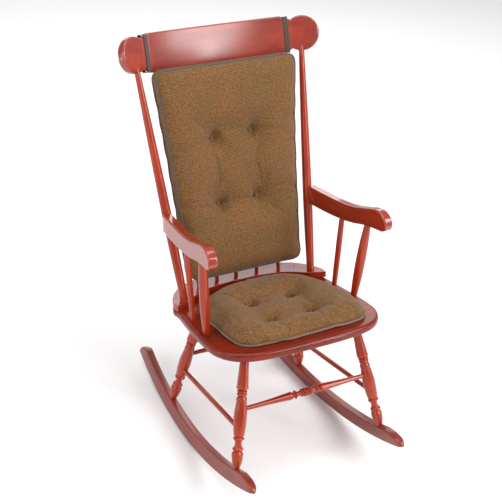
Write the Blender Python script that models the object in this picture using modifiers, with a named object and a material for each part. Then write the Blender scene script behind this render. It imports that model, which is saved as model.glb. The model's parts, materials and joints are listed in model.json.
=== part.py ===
"""Rocking chair with turned legs, a spindle back, a bowed crest rail, and two tufted cushions.

Every piece is modelled in the chair's own frame: the seat is level, +Y runs to the back, +Z up,
and X = 0 is the plane of symmetry. The whole chair hangs on one empty, which then leans it back to
the attitude in which it balances, and sets it on the floor.
"""

import math

import bmesh
import bpy
from mathutils import Euler, Matrix, Quaternion, Vector

# ---- Driving dimensions, in metres and radians -------------------------------------------------
FIT_GAP = 0.0003  # clearance between touching pieces
REST_LEAN = math.radians(9.55)  # how far the balanced chair leans back

SEAT_TOP = 0.416
SEAT_THICK = 0.025
SEAT_BOTTOM = SEAT_TOP - SEAT_THICK
SEAT_EDGE = 0.009

# Deck: the raised strip on the seat's rear edge that carries the back
DECK_THICK = 0.018
DECK_EDGE = 0.004
DECK_TOP = SEAT_TOP + DECK_THICK
DECK_SCREW = Vector((0.181, 0.184, DECK_TOP))

# Rockers: boards that lean in with the legs, each drawn in its own plane from this origin
ROCKER_ORIGIN = Vector((0.2231, 0.0, 0.0900))
ROCKER_CANT = math.radians(10.2)
ROCKER_TOE_OUT = math.radians(2.1)
ROCKER_R = 1.080
ROCKER_LOW = -0.0752  # the arc's lowest point, below the origin
ROCKER_HEIGHT = 0.0425
ROCKER_WIDTH = 0.0230
ROCKER_EDGE = 0.003
ROCKER_FRONT = -0.330
ROCKER_REAR = 0.458
ROCKER_NOSE = 0.072  # length of the nose, where the top drops to the tip
ROCKER_TAIL = 0.040  # length of the rounded rear end
ROCKER_FACET = math.radians(2.15)  # one flat of the faceted arc; one lies level when at rest

# Legs: centre lines, right-hand side, from the seat's underside to the rocker's top
FRONT_LEG_TOP = Vector((0.1743, -0.1626, SEAT_BOTTOM))
FRONT_LEG_FOOT = Vector((0.2329, -0.2195, 0.0806))
REAR_LEG_TOP = Vector((0.1624, 0.1174, SEAT_BOTTOM))
REAR_LEG_FOOT = Vector((0.2175, 0.2090, 0.0790))
LEG_TENON_R = 0.0119
LEG_FOOT_R = 0.0084
LEG_IN_SEAT = 0.018
LEG_IN_ROCKER = 0.016

SIDE_STRETCHER_Z = 0.188
SIDE_STRETCHER_R = 0.0065
CROSS_STRETCHER_Z = 0.240
CROSS_STRETCHER_R = 0.0062
STRETCHER_IN_LEG = 0.010
LEG_R_AT_STRETCHER = 0.0145

# Back: posts and spindles stand on the deck and hold the crest rail
POST_FOOT = Vector((0.2087, 0.1343, DECK_TOP))
POST_HEAD = Vector((0.2590, 0.2893, 1.0580))
POST_HEAD_R = 0.0080
POST_FOOT_R = 0.0108
BACK_LEAN = math.atan2(POST_HEAD.y - POST_FOOT.y, POST_HEAD.z - POST_FOOT.z)
SPINDLE_FOOT_STEP = 0.0660
SPINDLE_HEAD_STEP = 0.0780
SPINDLE_ARC_Y = -0.248  # centre, in plan, of the arc of the spindles' feet
SPINDLE_ARC_R = 0.460
SPINDLE_HEAD_R = 0.0052
SPINDLE_FOOT_R = 0.0056
IN_DECK = 0.028
IN_CREST = 0.018

# Crest rail: a board bent on a cylinder whose axis leans with the back, with a disc at each end
CREST_MID = Vector((0.0, 0.3604, 1.0927))
CREST_R = 0.620
CREST_HEIGHT = 0.109
CREST_THICK = 0.021
CREST_BOARD_HALF = 0.213  # along the board, to where its upper corner turns down
CREST_COVE_U = 0.229
CREST_COVE_HEIGHT = 0.092
CREST_RIM = 0.016  # from the middle of a cove to the ear's rim
EAR_U = 0.2745
EAR_R = 0.0505

# Arms: centre lines at both ends, and what stands between seat and arm
ARM_WIDTH = 0.0265
ARM_EDGE = 0.0035
ARM_FRONT = Vector((0.2693, -0.1690, 0.0))
ARM_REAR = Vector((0.2333, 0.1860, 0.0))
ARM_NOTCH_R = 0.0148
ARM_NOTCH_LOW = 0.600
ARM_NOTCH_HIGH = 0.720
ARM_SCREW_Z = 0.657
POST_R_AT_ARM = 0.0138
ARM_POST_FOOT = Vector((0.2362, -0.0570, SEAT_TOP))
ARM_POST_HEAD = Vector((0.2577, -0.0835, 0.6475))
ARM_SPINDLE_FOOT = Vector((0.2300, 0.0360, SEAT_TOP))
ARM_SPINDLE_HEAD = Vector((0.2475, 0.0310, 0.6330))
IN_ARM = 0.014
IN_SEAT = 0.014

# Cushions and ties
PAD_CLEAR = 0.0010
SEAT_PAD_THICK = 0.040
BACK_PAD_LEAN = math.radians(11.3)
BACK_PAD_HINGE = Vector((0.0, 0.2985, 1.0720))
BACK_PAD_LENGTH = 0.626
BACK_PAD_THICK = 0.044
BACK_PAD_TOP_HALF = 0.2280
BACK_PAD_FOOT_HALF = 0.1900
BACK_PAD_CORNER = 0.030
PAD_EDGE = 0.011
TIE_WIDTH = 0.012
TIE_THICK = 0.0022

# Screws
SCREW_HEAD_R = 0.0040
SCREW_SHANK_R = 0.0018
SCREW_HEAD_THICK = 0.0025
SCREW_SINK = 0.0012
SCREW_CLEAR = 0.010  # a screw's bore starts this far outside the surface
DECK_SCREW_LENGTH = 0.032
STRETCHER_SCREW_LENGTH = 0.036
ROCKER_SCREW_LENGTH = 0.042
ARM_SCREW_LENGTH = 0.048
SCREW_TWIST = 0.2  # keeps a screw's corners off the corners of the pieces on its axis

LEG_SIDES = 12
POST_SIDES = 12
STRETCHER_SIDES = 10
SPINDLE_SIDES = 10
SCREW_SIDES = 8

# ---- Scene and materials -----------------------------------------------------------------------
for old in list(bpy.data.objects):
    bpy.data.objects.remove(old, do_unlink=True)

PARTS = bpy.data.collections.new("rocking_chair")
CUTTERS = bpy.data.collections.new("cutters")
for collection in (PARTS, CUTTERS):
    bpy.context.scene.collection.children.link(collection)

CHAIR = bpy.data.objects.new("chair_frame_origin", None)
PARTS.objects.link(CHAIR)


def principled(name, colour, roughness, metallic=0.0):
    material = bpy.data.materials.new(name)
    material.use_nodes = True
    shader = material.node_tree.nodes["Principled BSDF"]
    shader.inputs["Base Color"].default_value = (*colour, 1.0)
    shader.inputs["Roughness"].default_value = roughness
    shader.inputs["Metallic"].default_value = metallic
    material.diffuse_color = (*colour, 1.0)
    return material


WOOD_COLOURS = {
    "board": (0.33, 0.045, 0.022),
    "turned": (0.38, 0.055, 0.025),
    "rocker": (0.27, 0.050, 0.035),
}
FABRIC_COLOUR = (0.23, 0.13, 0.055)
TIE_COLOUR = (0.12, 0.095, 0.07)
STEEL_COLOUR = (0.12, 0.11, 0.10)


def wood(kind):
    return principled("lacquered_" + kind, WOOD_COLOURS[kind], 0.25)


def add_part(name, mesh, material, parent=CHAIR, collection=PARTS):
    piece = bpy.data.objects.new(name, mesh)
    collection.objects.link(piece)
    piece.parent = parent
    if material is not None:
        mesh.materials.clear()
        mesh.materials.append(material)
    return piece


def mirrored(point):
    return Vector((-point.x, point.y, point.z))


def sides():
    """Yields the name ending and the mapping of right-hand points for each side of the chair."""
    yield "right", lambda point: point.copy()
    yield "left", mirrored


# ---- Turned pieces -----------------------------------------------------------------------------
def profile_of(first_radius, sections):
    """Points (distance, radius) of a turned outline. A section is its length, the radius at its
    end, how far its middle bulges out (or in, if negative), and its number of straight facets."""
    points = [(0.0, first_radius)]
    distance = 0.0
    radius = first_radius
    for length, end_radius, bulge, facets in sections:
        for i in range(1, facets + 1):
            t = i / facets
            swell = bulge * math.sin(math.pi * t)
            points.append((distance + length * t, radius + (end_radius - radius) * t + swell))
        distance += length
        radius = end_radius
    return points


def aim(start, end):
    """Rotation that lays the local -Z axis along the line from start to end."""
    return (end - start).to_track_quat("-Z", "Y")


def turned(name, profile, start, end, facets, material, collection=PARTS, twist=0.0):
    """A solid of revolution whose axis runs from start towards end, twisted about that axis."""
    mesh = bpy.data.meshes.new(name)
    outline = bmesh.new()
    ring = [(0.0, 0.0)] + [(radius, -distance) for distance, radius in profile]
    ring.append((0.0, -profile[-1][0]))
    points = [outline.verts.new((x, 0.0, z)) for x, z in ring]
    for a, b in zip(points, points[1:]):
        outline.edges.new((a, b))
    outline.to_mesh(mesh)
    outline.free()
    piece = add_part(name, mesh, material, collection=collection)
    piece.location = start
    piece.rotation_mode = "QUATERNION"
    piece.rotation_quaternion = aim(start, end) @ Quaternion((0.0, 0.0, 1.0), twist)
    screw = piece.modifiers.new("turning", "SCREW")
    screw.axis = "Z"
    screw.steps = facets
    screw.render_steps = facets
    screw.use_merge_vertices = True
    screw.merge_threshold = 0.00001
    screw.use_smooth_shade = True
    return piece


def cut(piece, cutter):
    boolean = piece.modifiers.new("cut_" + cutter.name, "BOOLEAN")
    boolean.operation = "DIFFERENCE"
    boolean.solver = "EXACT"
    boolean.object = cutter


def socket(pieces, name, start, end, radius, facets):
    """Bores a round hole from start to end, a fit gap wider and deeper than what it takes."""
    way = (end - start).normalized()
    depth = (end - start).length + FIT_GAP
    grown = radius + FIT_GAP / math.cos(math.pi / facets)
    profile = [(0.0, grown), (depth, grown)]
    cutter = turned("bore_" + name, profile, start, start + way, facets, None, CUTTERS)
    cutter.hide_render = True
    cutter.display_type = "WIRE"
    for piece in pieces:
        cut(piece, cutter)


# ---- Sawn boards -------------------------------------------------------------------------------
def arc(centre, radius, start, end, count):
    """Points on an arc in a plane, by angle from the first axis towards the second."""
    steps = [start + (end - start) * i / (count - 1) for i in range(count)]
    return [(centre[0] + radius * math.cos(a), centre[1] + radius * math.sin(a)) for a in steps]


def smooth_line(points, count):
    """Catmull-Rom curve through the points, with count steps between neighbours."""
    padded = [points[0], *points, points[-1]]
    line = []
    for p0, p1, p2, p3 in zip(padded, padded[1:], padded[2:], padded[3:]):
        for i in range(count):
            t = i / count
            line.append(
                tuple(
                    0.5 * (2 * b + (c - a) * t + (2 * a - 5 * b + 4 * c - d) * t * t
                           + (3 * b - a - 3 * c + d) * t ** 3)
                    for a, b, c, d in zip(p0, p1, p2, p3)
                )
            )
    line.append(tuple(points[-1]))
    return line


def board_mesh(name, outlines, thickness):
    """Mesh of a flat outline, or of one with holes, drawn in local XY and centred on Z = 0."""
    curve = bpy.data.curves.new(name, "CURVE")
    curve.dimensions = "2D"
    curve.fill_mode = "BOTH"
    curve.extrude = thickness / 2
    for outline in outlines:
        spline = curve.splines.new("POLY")
        spline.points.add(len(outline) - 1)
        for point, (x, y) in zip(spline.points, outline):
            point.co = (x, y, 0.0, 1.0)
        spline.use_cyclic_u = True
    drawing = bpy.data.objects.new(name + "_outline", curve)
    CUTTERS.objects.link(drawing)
    bpy.context.view_layer.update()
    evaluated = drawing.evaluated_get(bpy.context.evaluated_depsgraph_get())
    mesh = bpy.data.meshes.new_from_object(evaluated)
    bpy.data.objects.remove(drawing, do_unlink=True)
    bpy.data.curves.remove(curve)
    welded = bmesh.new()
    welded.from_mesh(mesh)
    bmesh.ops.remove_doubles(welded, verts=welded.verts, dist=0.00001)
    bmesh.ops.dissolve_limit(
        welded, angle_limit=0.0001, verts=welded.verts, edges=welded.edges, delimit=set()
    )
    bmesh.ops.recalc_face_normals(welded, faces=welded.faces)
    welded.to_mesh(mesh)
    welded.free()
    mesh.name = name
    return mesh


def ease_edges(piece, width):
    bevel = piece.modifiers.new("eased_edges", "BEVEL")
    bevel.width = width
    bevel.segments = 2
    bevel.limit_method = "ANGLE"
    bevel.angle_limit = math.radians(50.0)


def board(name, outline, thickness, frame, material, edge):
    piece = add_part(name, board_mesh(name, [outline], thickness), material)
    piece.matrix_local = frame
    ease_edges(piece, edge)
    return piece


def frame_of(origin, x_axis, y_axis):
    """Placement with the local X and Y axes along the given directions."""
    x_axis = x_axis.normalized()
    z_axis = x_axis.cross(y_axis).normalized()
    rows = Matrix((x_axis, z_axis.cross(x_axis), z_axis)).transposed()
    return Matrix.Translation(origin) @ rows.to_4x4()


UP = Vector((0.0, 0.0, 1.0))
ACROSS = Vector((1.0, 0.0, 0.0))
BACKWARD = Vector((0.0, 1.0, 0.0))


# ---- Seat and deck -----------------------------------------------------------------------------
# Right half of the rear edge, which seat and deck share, from the deck's end to the middle
REAR_EDGE = [
    (0.2440, 0.1030),
    (0.2450, 0.1300),
    (0.2335, 0.1590),
    (0.2120, 0.1895),
    (0.1800, 0.2170),
    (0.1200, 0.2440),
    (0.0600, 0.2585),
    (0.0, 0.2620),
]


def both_halves(half):
    """Closes an outline whose right half starts and ends on the plane of symmetry."""
    return half + [(-x, y) for x, y in reversed(half[1:-1])]


def seat_outline():
    """Front edge nearly straight, round front corners, sides closing in to the rear edge."""
    front = [
        (0.0, -0.2350),
        (0.1000, -0.2325),
        (0.1800, -0.2210),
        (0.2280, -0.1940),
        (0.2550, -0.1500),
        (0.2610, -0.1000),
        (0.2570, -0.0200),
        (0.2500, 0.0500),
    ]
    return both_halves(smooth_line(front + REAR_EDGE, 2))


def deck_outline():
    """A bent strip: the seat's rear edge, straight ends facing forward, and a flatter front edge."""
    rear = smooth_line(REAR_EDGE, 2)
    front = smooth_line([(0.0, 0.1800), (0.0700, 0.1755), (0.1400, 0.1580), (0.1960, 0.1210)], 3)
    right = [front[-1], *rear]
    left = [(-x, y) for x, y in reversed(right[:-1])]
    inner = front[:-1] + [(-x, y) for x, y in front[1:-1]]
    return right + left + sorted(inner)


def build_seat():
    middle = Vector((0.0, 0.0, SEAT_TOP - SEAT_THICK / 2))
    frame = frame_of(middle, ACROSS, BACKWARD)
    seat = board("seat", seat_outline(), SEAT_THICK, frame, wood("board"), SEAT_EDGE)
    middle = Vector((0.0, 0.0, SEAT_TOP + (DECK_THICK + FIT_GAP) / 2))
    frame = frame_of(middle, ACROSS, BACKWARD)
    deck = board("back_deck", deck_outline(), DECK_THICK - FIT_GAP, frame, wood("board"), DECK_EDGE)
    return seat, deck


# ---- Rockers -----------------------------------------------------------------------------------
def rocker_outline():
    """In the board's plane, from its origin: two arcs about one centre, a nose that drops to the
    tip in front, and a rounded rear end."""
    centre = (0.0, ROCKER_LOW + ROCKER_R)
    top_r = ROCKER_R - ROCKER_HEIGHT

    def turn(y, radius):
        return -math.pi / 2 + math.asin(y / radius)

    rest = math.atan(math.tan(REST_LEAN) * math.cos(ROCKER_TOE_OUT) / math.cos(ROCKER_CANT))
    level = rest - math.pi / 2 - ROCKER_FACET / 2
    before = math.floor((level - turn(ROCKER_FRONT + 0.010, ROCKER_R)) / ROCKER_FACET)
    after = math.floor((turn(ROCKER_REAR, ROCKER_R) - level) / ROCKER_FACET)
    bottom = arc(
        centre,
        ROCKER_R,
        level - before * ROCKER_FACET,
        level + after * ROCKER_FACET,
        before + after + 1,
    )
    end = ROCKER_REAR - 0.002
    bottom.append((end, centre[1] - math.sqrt(ROCKER_R ** 2 - end ** 2)))
    rear, front = turn(ROCKER_REAR - ROCKER_TAIL, top_r), turn(ROCKER_FRONT + ROCKER_NOSE, top_r)
    top = arc(centre, top_r, rear, front, 12)
    drop = top[-1][1] - bottom[0][1]
    nose = smooth_line(
        [
            top[-1],
            (ROCKER_FRONT + 0.58 * ROCKER_NOSE, bottom[0][1] + 1.00 * drop),
            (ROCKER_FRONT + 0.25 * ROCKER_NOSE, bottom[0][1] + 0.78 * drop),
            (ROCKER_FRONT + 0.02 * ROCKER_NOSE, bottom[0][1] + 0.32 * drop),
            bottom[0],
        ],
        2,
    )
    rise = top[0][1] - bottom[-1][1]
    tail = [
        (ROCKER_REAR, bottom[-1][1] + 0.25 * rise),
        (ROCKER_REAR - 0.35 * ROCKER_TAIL, bottom[-1][1] + 0.80 * rise),
    ]
    return bottom + tail + top + nose[1:-1]


def build_rocker(side, place):
    """The rockers lean in with the legs, and their fronts stand wider apart than their rears."""
    sign = place(ACROSS).x
    run = Vector((-sign * math.sin(ROCKER_TOE_OUT), math.cos(ROCKER_TOE_OUT), 0.0))
    up = Vector((-sign * math.sin(ROCKER_CANT), 0.0, math.cos(ROCKER_CANT)))
    frame = frame_of(place(ROCKER_ORIGIN), run, up)
    return board("rocker_" + side, rocker_outline(), ROCKER_WIDTH, frame, wood("rocker"), ROCKER_EDGE)


# ---- Legs and stretchers -----------------------------------------------------------------------
def leg_profile(visible):
    """Turned leg from inside the seat to inside the rocker: vase, two rings, barrel, ring, neck,
    ring, and a bulb that narrows to the foot. Only the vase's length follows the leg's length."""
    turnings = [
        (0.0114, 0.0138, 0.0014, 2),
        (0.0100, 0.0128, 0.0026, 3),
        (0.0150, 0.0144, 0.0028, 3),
        (0.0946, 0.0152, 0.0032, 4),
        (0.0140, 0.0134, 0.0024, 3),
        (0.0185, 0.0126, -0.0016, 2),
        (0.0115, 0.0132, 0.0018, 2),
        (0.0080, 0.0166, 0.0012, 1),
        (0.0420, LEG_FOOT_R, 0.0012, 3),
    ]
    vase = visible - sum(section[0] for section in turnings)
    top = [(LEG_IN_SEAT, LEG_TENON_R, 0.0, 1), (vase, 0.0166, -0.0008, 3)]
    return profile_of(LEG_TENON_R, [*top, *turnings, (LEG_IN_ROCKER, LEG_FOOT_R, 0.0, 1)])


def build_leg(name, top, foot, seat, rocker):
    way = (foot - top).normalized()
    start = top - way * LEG_IN_SEAT
    end = foot + way * LEG_IN_ROCKER
    leg = turned(name, leg_profile((foot - top).length), start, end, LEG_SIDES, wood("turned"))
    socket([seat], name + "_top", top + way * 0.030, start, LEG_TENON_R, LEG_SIDES)
    socket([rocker], name + "_foot", foot - way * 0.020, end, LEG_FOOT_R, LEG_SIDES)
    return leg


def at_height(top, foot, height):
    return top.lerp(foot, (top.z - height) / (top.z - foot.z))


def cross_stretcher_profile(half):
    """Half of a double-vase stretcher, mirrored about its middle group of three beads."""
    run = half - 0.0520
    halves = [
        (run, 0.0104, -0.0012, 3),
        (0.0110, 0.0088, 0.0012, 2),
        (0.0040, 0.0084, -0.0002, 1),
        (0.0065, 0.0084, 0.0038, 3),
        (0.0140, 0.0090, -0.0018, 2),
        (0.0075, 0.0098, 0.0018, 2),
        (0.0090, 0.0098, 0.0024, 2),
    ]
    first = profile_of(CROSS_STRETCHER_R, halves)
    total = first[-1][0]
    return first + [(2 * total - distance, radius) for distance, radius in reversed(first[:-1])]


def build_cross_stretcher(name, left_leg, right_leg, left_end, right_end):
    """Lies between the legs' centre lines; a screw through each leg holds it."""
    way = (right_end - left_end).normalized()
    inset = way * (LEG_R_AT_STRETCHER - STRETCHER_IN_LEG)
    start, end = left_end + inset, right_end - inset
    profile = cross_stretcher_profile((end - start).length / 2)
    stretcher = turned(name, profile, start, end, STRETCHER_SIDES, wood("turned"))
    for side, leg, inner, out in (("left", left_leg, start, -way), ("right", right_leg, end, way)):
        socket([leg], f"{name}_{side}", inner - out * 0.040, inner, CROSS_STRETCHER_R, STRETCHER_SIDES)
        outer = inner + out * (2 * LEG_R_AT_STRETCHER - STRETCHER_IN_LEG)
        build_screw(f"screw_{name}_{side}", outer, -out, STRETCHER_SCREW_LENGTH, [leg, stretcher])
    return stretcher


def build_side_stretcher(name, front_leg, rear_leg, front_end, rear_end):
    way = (rear_end - front_end).normalized()
    inset = way * (LEG_R_AT_STRETCHER - STRETCHER_IN_LEG)
    start, end = front_end + inset, rear_end - inset
    profile = profile_of(
        SIDE_STRETCHER_R, [((end - start).length, SIDE_STRETCHER_R, 0.0006, 4)]
    )
    turned(name, profile, start, end, STRETCHER_SIDES, wood("turned"))
    # The slight swell starts inside the socket, which is that much wider
    bore = SIDE_STRETCHER_R + 0.0003
    socket([front_leg], name + "_front", start + way * 0.040, start, bore, STRETCHER_SIDES)
    socket([rear_leg], name + "_rear", end - way * 0.040, end, bore, STRETCHER_SIDES)


# ---- Back --------------------------------------------------------------------------------------
LEAN_UP = Vector((0.0, math.sin(BACK_LEAN), math.cos(BACK_LEAN)))
LEAN_OUT = Vector((0.0, math.cos(BACK_LEAN), -math.sin(BACK_LEAN)))


def on_crest(u, v, depth=0.0):
    """A point of the bent crest rail: u along it, v up it, depth behind its middle surface."""
    radius = CREST_R + depth
    angle = u / CREST_R
    back = CREST_R * (math.cos(angle) - 1.0) + depth * math.cos(angle)
    return CREST_MID + ACROSS * (radius * math.sin(angle)) + LEAN_OUT * back + LEAN_UP * v


def crest_half_height(u):
    """Half height of the rail at u: a level board, a cove for the tie, and a round ear."""
    distance = abs(u)
    if distance <= CREST_BOARD_HALF:
        return CREST_HEIGHT / 2
    if distance >= CREST_COVE_U + CREST_RIM:
        return math.sqrt(max(EAR_R ** 2 - (distance - EAR_U) ** 2, 0.0))
    cove = CREST_COVE_HEIGHT / 2
    if distance <= CREST_COVE_U:
        t = (distance - CREST_BOARD_HALF) / (CREST_COVE_U - CREST_BOARD_HALF)
        return CREST_HEIGHT / 2 + (cove - CREST_HEIGHT / 2) * t * t * (3 - 2 * t)
    t = (distance - CREST_COVE_U) / CREST_RIM
    rim = math.sqrt(EAR_R ** 2 - (CREST_COVE_U + CREST_RIM - EAR_U) ** 2)
    return cove + (rim - cove) * t * t


def crest_stations():
    """Where the rail's cross-sections stand, closer together over the coves and the ears."""
    board_part = [CREST_BOARD_HALF * i / 6 for i in range(7)]
    cove_end = CREST_COVE_U + CREST_RIM
    cove_length = cove_end - CREST_BOARD_HALF
    cove_part = [CREST_BOARD_HALF + cove_length * i / 5 for i in range(1, 5)]
    start = math.acos((EAR_U - cove_end) / EAR_R)
    ear_part = [EAR_U - EAR_R * math.cos(start + (math.pi - start) * i / 8) for i in range(8)]
    right = board_part + cove_part + ear_part + [EAR_U + EAR_R * 0.995]
    return [-u for u in reversed(right[1:])] + right


def crest_section(u):
    """Rounded rectangle of the rail at u, counter-clockwise seen from +X."""
    half = crest_half_height(u)
    depth = CREST_THICK / 2
    edge = min(0.004, half * 0.5)
    corners = []
    for v_sign, d_sign in ((-1, -1), (-1, 1), (1, 1), (1, -1)):
        flat_first = v_sign == d_sign
        near_v = (v_sign * (half - edge), d_sign * depth)
        near_d = (v_sign * half, d_sign * (depth - edge))
        corners += [near_v, near_d] if flat_first else [near_d, near_v]
    return [on_crest(u, v, d) for v, d in corners]


def loft(name, rings, material):
    """Closed skin over rings with equal numbers of points."""
    skin = bmesh.new()
    loops = [[skin.verts.new(point) for point in ring] for ring in rings]
    for ring, following in zip(loops, loops[1:]):
        for i in range(len(ring)):
            j = (i + 1) % len(ring)
            skin.faces.new((ring[i], ring[j], following[j], following[i]))
    skin.faces.new(loops[0])
    skin.faces.new(loops[-1])
    bmesh.ops.recalc_face_normals(skin, faces=skin.faces)
    mesh = bpy.data.meshes.new(name)
    skin.to_mesh(mesh)
    skin.free()
    mesh.shade_smooth()
    mesh.set_sharp_from_angle(angle=math.radians(35.0))
    return add_part(name, mesh, material)


def build_crest():
    return loft("crest_rail", [crest_section(u) for u in crest_stations()], wood("board"))


def build_back_stick(name, foot, head, profile, foot_r, head_r, pieces, facets):
    """A turned stick from inside the crest rail down through the deck into the seat."""
    deck, seat, crest = pieces
    way = (head - foot).normalized()
    start = head + way * IN_CREST
    end = foot - way * IN_DECK
    stick = turned(name, profile, start, end, facets, wood("turned"))
    socket([crest], name + "_head", head - way * 0.030, start, head_r, facets)
    socket([deck, seat], name + "_foot", foot + way * 0.020, end, foot_r + 0.0002, facets)
    return stick


def post_profile(length):
    """Back post: slender at the head, swelling to its thickest at the arm, lighter at the foot."""
    return profile_of(
        POST_HEAD_R,
        [
            (IN_CREST, POST_HEAD_R, 0.0, 1),
            (length * 0.66, 0.0140, 0.0008, 5),
            (length * 0.34, 0.0110, 0.0006, 4),
            (IN_DECK, POST_FOOT_R, 0.0, 1),
        ],
    )


def spindle_profile(length):
    return profile_of(
        SPINDLE_HEAD_R,
        [
            (IN_CREST, SPINDLE_HEAD_R, 0.0, 1),
            (length * 0.6, 0.0068, 0.0003, 3),
            (length * 0.4, SPINDLE_FOOT_R, 0.0003, 3),
            (IN_DECK, SPINDLE_FOOT_R, 0.0, 1),
        ],
    )


def spindle_foot(x):
    y = SPINDLE_ARC_Y + math.sqrt(SPINDLE_ARC_R ** 2 - x ** 2)
    return Vector((x, y, DECK_TOP))


def crest_underside(x):
    """Middle of the rail's lower edge at x."""
    u = CREST_R * math.asin(x / CREST_R)
    return on_crest(u, -crest_half_height(u))


def build_back(seat, deck, crest):
    pieces = (deck, seat, crest)
    posts = {}
    profile = post_profile((POST_HEAD - POST_FOOT).length)
    for side, place in sides():
        name = "back_post_" + side
        foot, head = place(POST_FOOT), place(POST_HEAD)
        posts[side] = build_back_stick(
            name, foot, head, profile, POST_FOOT_R, POST_HEAD_R, pieces, POST_SIDES
        )
        screw = place(DECK_SCREW)
        build_screw("screw_deck_" + side, screw, -UP, DECK_SCREW_LENGTH, [deck, seat])
    for number in range(1, 6):
        foot = spindle_foot((number - 3) * SPINDLE_FOOT_STEP)
        head = crest_underside((number - 3) * SPINDLE_HEAD_STEP)
        name = f"back_spindle_{number}"
        profile = spindle_profile((head - foot).length)
        build_back_stick(
            name, foot, head, profile, SPINDLE_FOOT_R, SPINDLE_HEAD_R, pieces, SPINDLE_SIDES
        )
    return posts


# ---- Arms --------------------------------------------------------------------------------------
def arm_outline():
    """Side view in (distance behind the front end, height): low waist, raised and rounded front."""
    top = smooth_line(
        [
            (0.352, 0.6830),
            (0.290, 0.6815),
            (0.215, 0.6805),
            (0.150, 0.6850),
            (0.095, 0.6970),
            (0.050, 0.7075),
            (0.022, 0.7040),
            (0.004, 0.6900),
            (-0.002, 0.6720),
            (0.004, 0.6580),
            (0.018, 0.6515),
        ],
        2,
    )
    bottom = smooth_line(
        [
            (0.018, 0.6515),
            (0.080, 0.6480),
            (0.150, 0.6350),
            (0.215, 0.6290),
            (0.290, 0.6285),
            (0.352, 0.6310),
        ],
        2,
    )
    return top + bottom[1:]


def build_arm(side, place, post):
    """The arm's rear end is hollowed to fit round the post, and a screw through the post holds it."""
    front, rear = place(ARM_FRONT), place(ARM_REAR)
    run = rear - front
    frame = frame_of(front, run, UP)
    arm = board("arm_" + side, arm_outline(), ARM_WIDTH, frame, wood("board"), ARM_EDGE)
    foot, head = place(POST_FOOT), place(POST_HEAD)
    low = at_height(head, foot, ARM_NOTCH_LOW)
    high = at_height(head, foot, ARM_NOTCH_HIGH)
    socket([arm], "post_notch_" + side, low, high, ARM_NOTCH_R, POST_SIDES)
    forward = -run.normalized()
    behind = at_height(head, foot, ARM_SCREW_Z) - forward * POST_R_AT_ARM
    build_screw("screw_arm_" + side, behind, forward, ARM_SCREW_LENGTH, [post, arm])
    return arm


def build_baluster(name, foot, head, profile, arm, seat):
    """A turned stick from inside the arm down into the seat."""
    way = (head - foot).normalized()
    start = head + way * IN_ARM
    end = foot - way * IN_SEAT
    turned(name, profile, start, end, POST_SIDES, wood("turned"))
    top_r, foot_r = profile[0][1], profile[-1][1]
    socket([arm], name + "_head", head - way * 0.020, start, top_r + 0.0001, POST_SIDES)
    socket([seat], name + "_foot", foot + way * 0.020, end, foot_r + 0.0001, POST_SIDES)


def build_balusters(side, place, arm, seat):
    foot, head = place(ARM_POST_FOOT), place(ARM_POST_HEAD)
    length = (head - foot).length
    profile = profile_of(
        0.0092,
        [
            (IN_ARM, 0.0092, 0.0, 1),
            (length * 0.45, 0.0138, 0.0010, 4),
            (length * 0.55, 0.0086, 0.0016, 5),
            (IN_SEAT, 0.0086, 0.0, 1),
        ],
    )
    build_baluster("arm_post_" + side, foot, head, profile, arm, seat)
    foot, head = place(ARM_SPINDLE_FOOT), place(ARM_SPINDLE_HEAD)
    length = (head - foot).length
    profile = profile_of(
        0.0076,
        [
            (IN_ARM, 0.0076, 0.0, 1),
            (length * 0.5, 0.0086, 0.0004, 3),
            (length * 0.5, 0.0072, 0.0004, 3),
            (IN_SEAT, 0.0072, 0.0, 1),
        ],
    )
    build_baluster("arm_spindle_" + side, foot, head, profile, arm, seat)


# ---- Screws ------------------------------------------------------------------------------------
def build_screw(name, surface_point, way, length, pieces):
    """Flat-headed screw sunk just below the surface, and its stepped bore in the pieces."""
    way = way.normalized()
    cone = SCREW_HEAD_R - SCREW_SHANK_R
    start = surface_point + way * SCREW_SINK
    profile = [
        (0.0, SCREW_HEAD_R),
        (SCREW_HEAD_THICK, SCREW_HEAD_R),
        (SCREW_HEAD_THICK + cone, SCREW_SHANK_R),
        (length, SCREW_SHANK_R),
    ]
    steel = principled("screw_steel", STEEL_COLOUR, 0.35, 1.0)
    turned(name, profile, start, start + way, SCREW_SIDES, steel, twist=SCREW_TWIST)
    gap = FIT_GAP / math.cos(math.pi / SCREW_SIDES)
    inside = SCREW_CLEAR + SCREW_SINK + FIT_GAP
    bore = [
        (0.0, SCREW_HEAD_R + gap),
        (inside + SCREW_HEAD_THICK, SCREW_HEAD_R + gap),
        (inside + SCREW_HEAD_THICK + cone, SCREW_SHANK_R + gap),
        (inside + length, SCREW_SHANK_R + gap),
    ]
    outside = surface_point - way * SCREW_CLEAR
    cutter = turned(
        "bore_" + name, bore, outside, start, SCREW_SIDES, None, CUTTERS, SCREW_TWIST
    )
    cutter.hide_render = True
    cutter.display_type = "WIRE"
    for piece in pieces:
        cut(piece, cutter)


# ---- Cushions and ties -------------------------------------------------------------------------
def seat_pad_outline():
    half = [
        (0.0, -0.2050),
        (0.1000, -0.2035),
        (0.1700, -0.1950),
        (0.2070, -0.1700),
        (0.2200, -0.1200),
        (0.2170, -0.0400),
        (0.1980, 0.0500),
        (0.1600, 0.1120),
        (0.0920, 0.1500),
        (0.0, 0.1620),
    ]
    return both_halves(smooth_line(half, 2))


def build_seat_pad():
    middle = Vector((0.0, 0.0, SEAT_TOP + PAD_CLEAR + SEAT_PAD_THICK / 2))
    material = principled("tweed_seat", FABRIC_COLOUR, 0.9)
    frame = frame_of(middle, ACROSS, BACKWARD)
    board("seat_cushion", seat_pad_outline(), SEAT_PAD_THICK, frame, material, PAD_EDGE)


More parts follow.
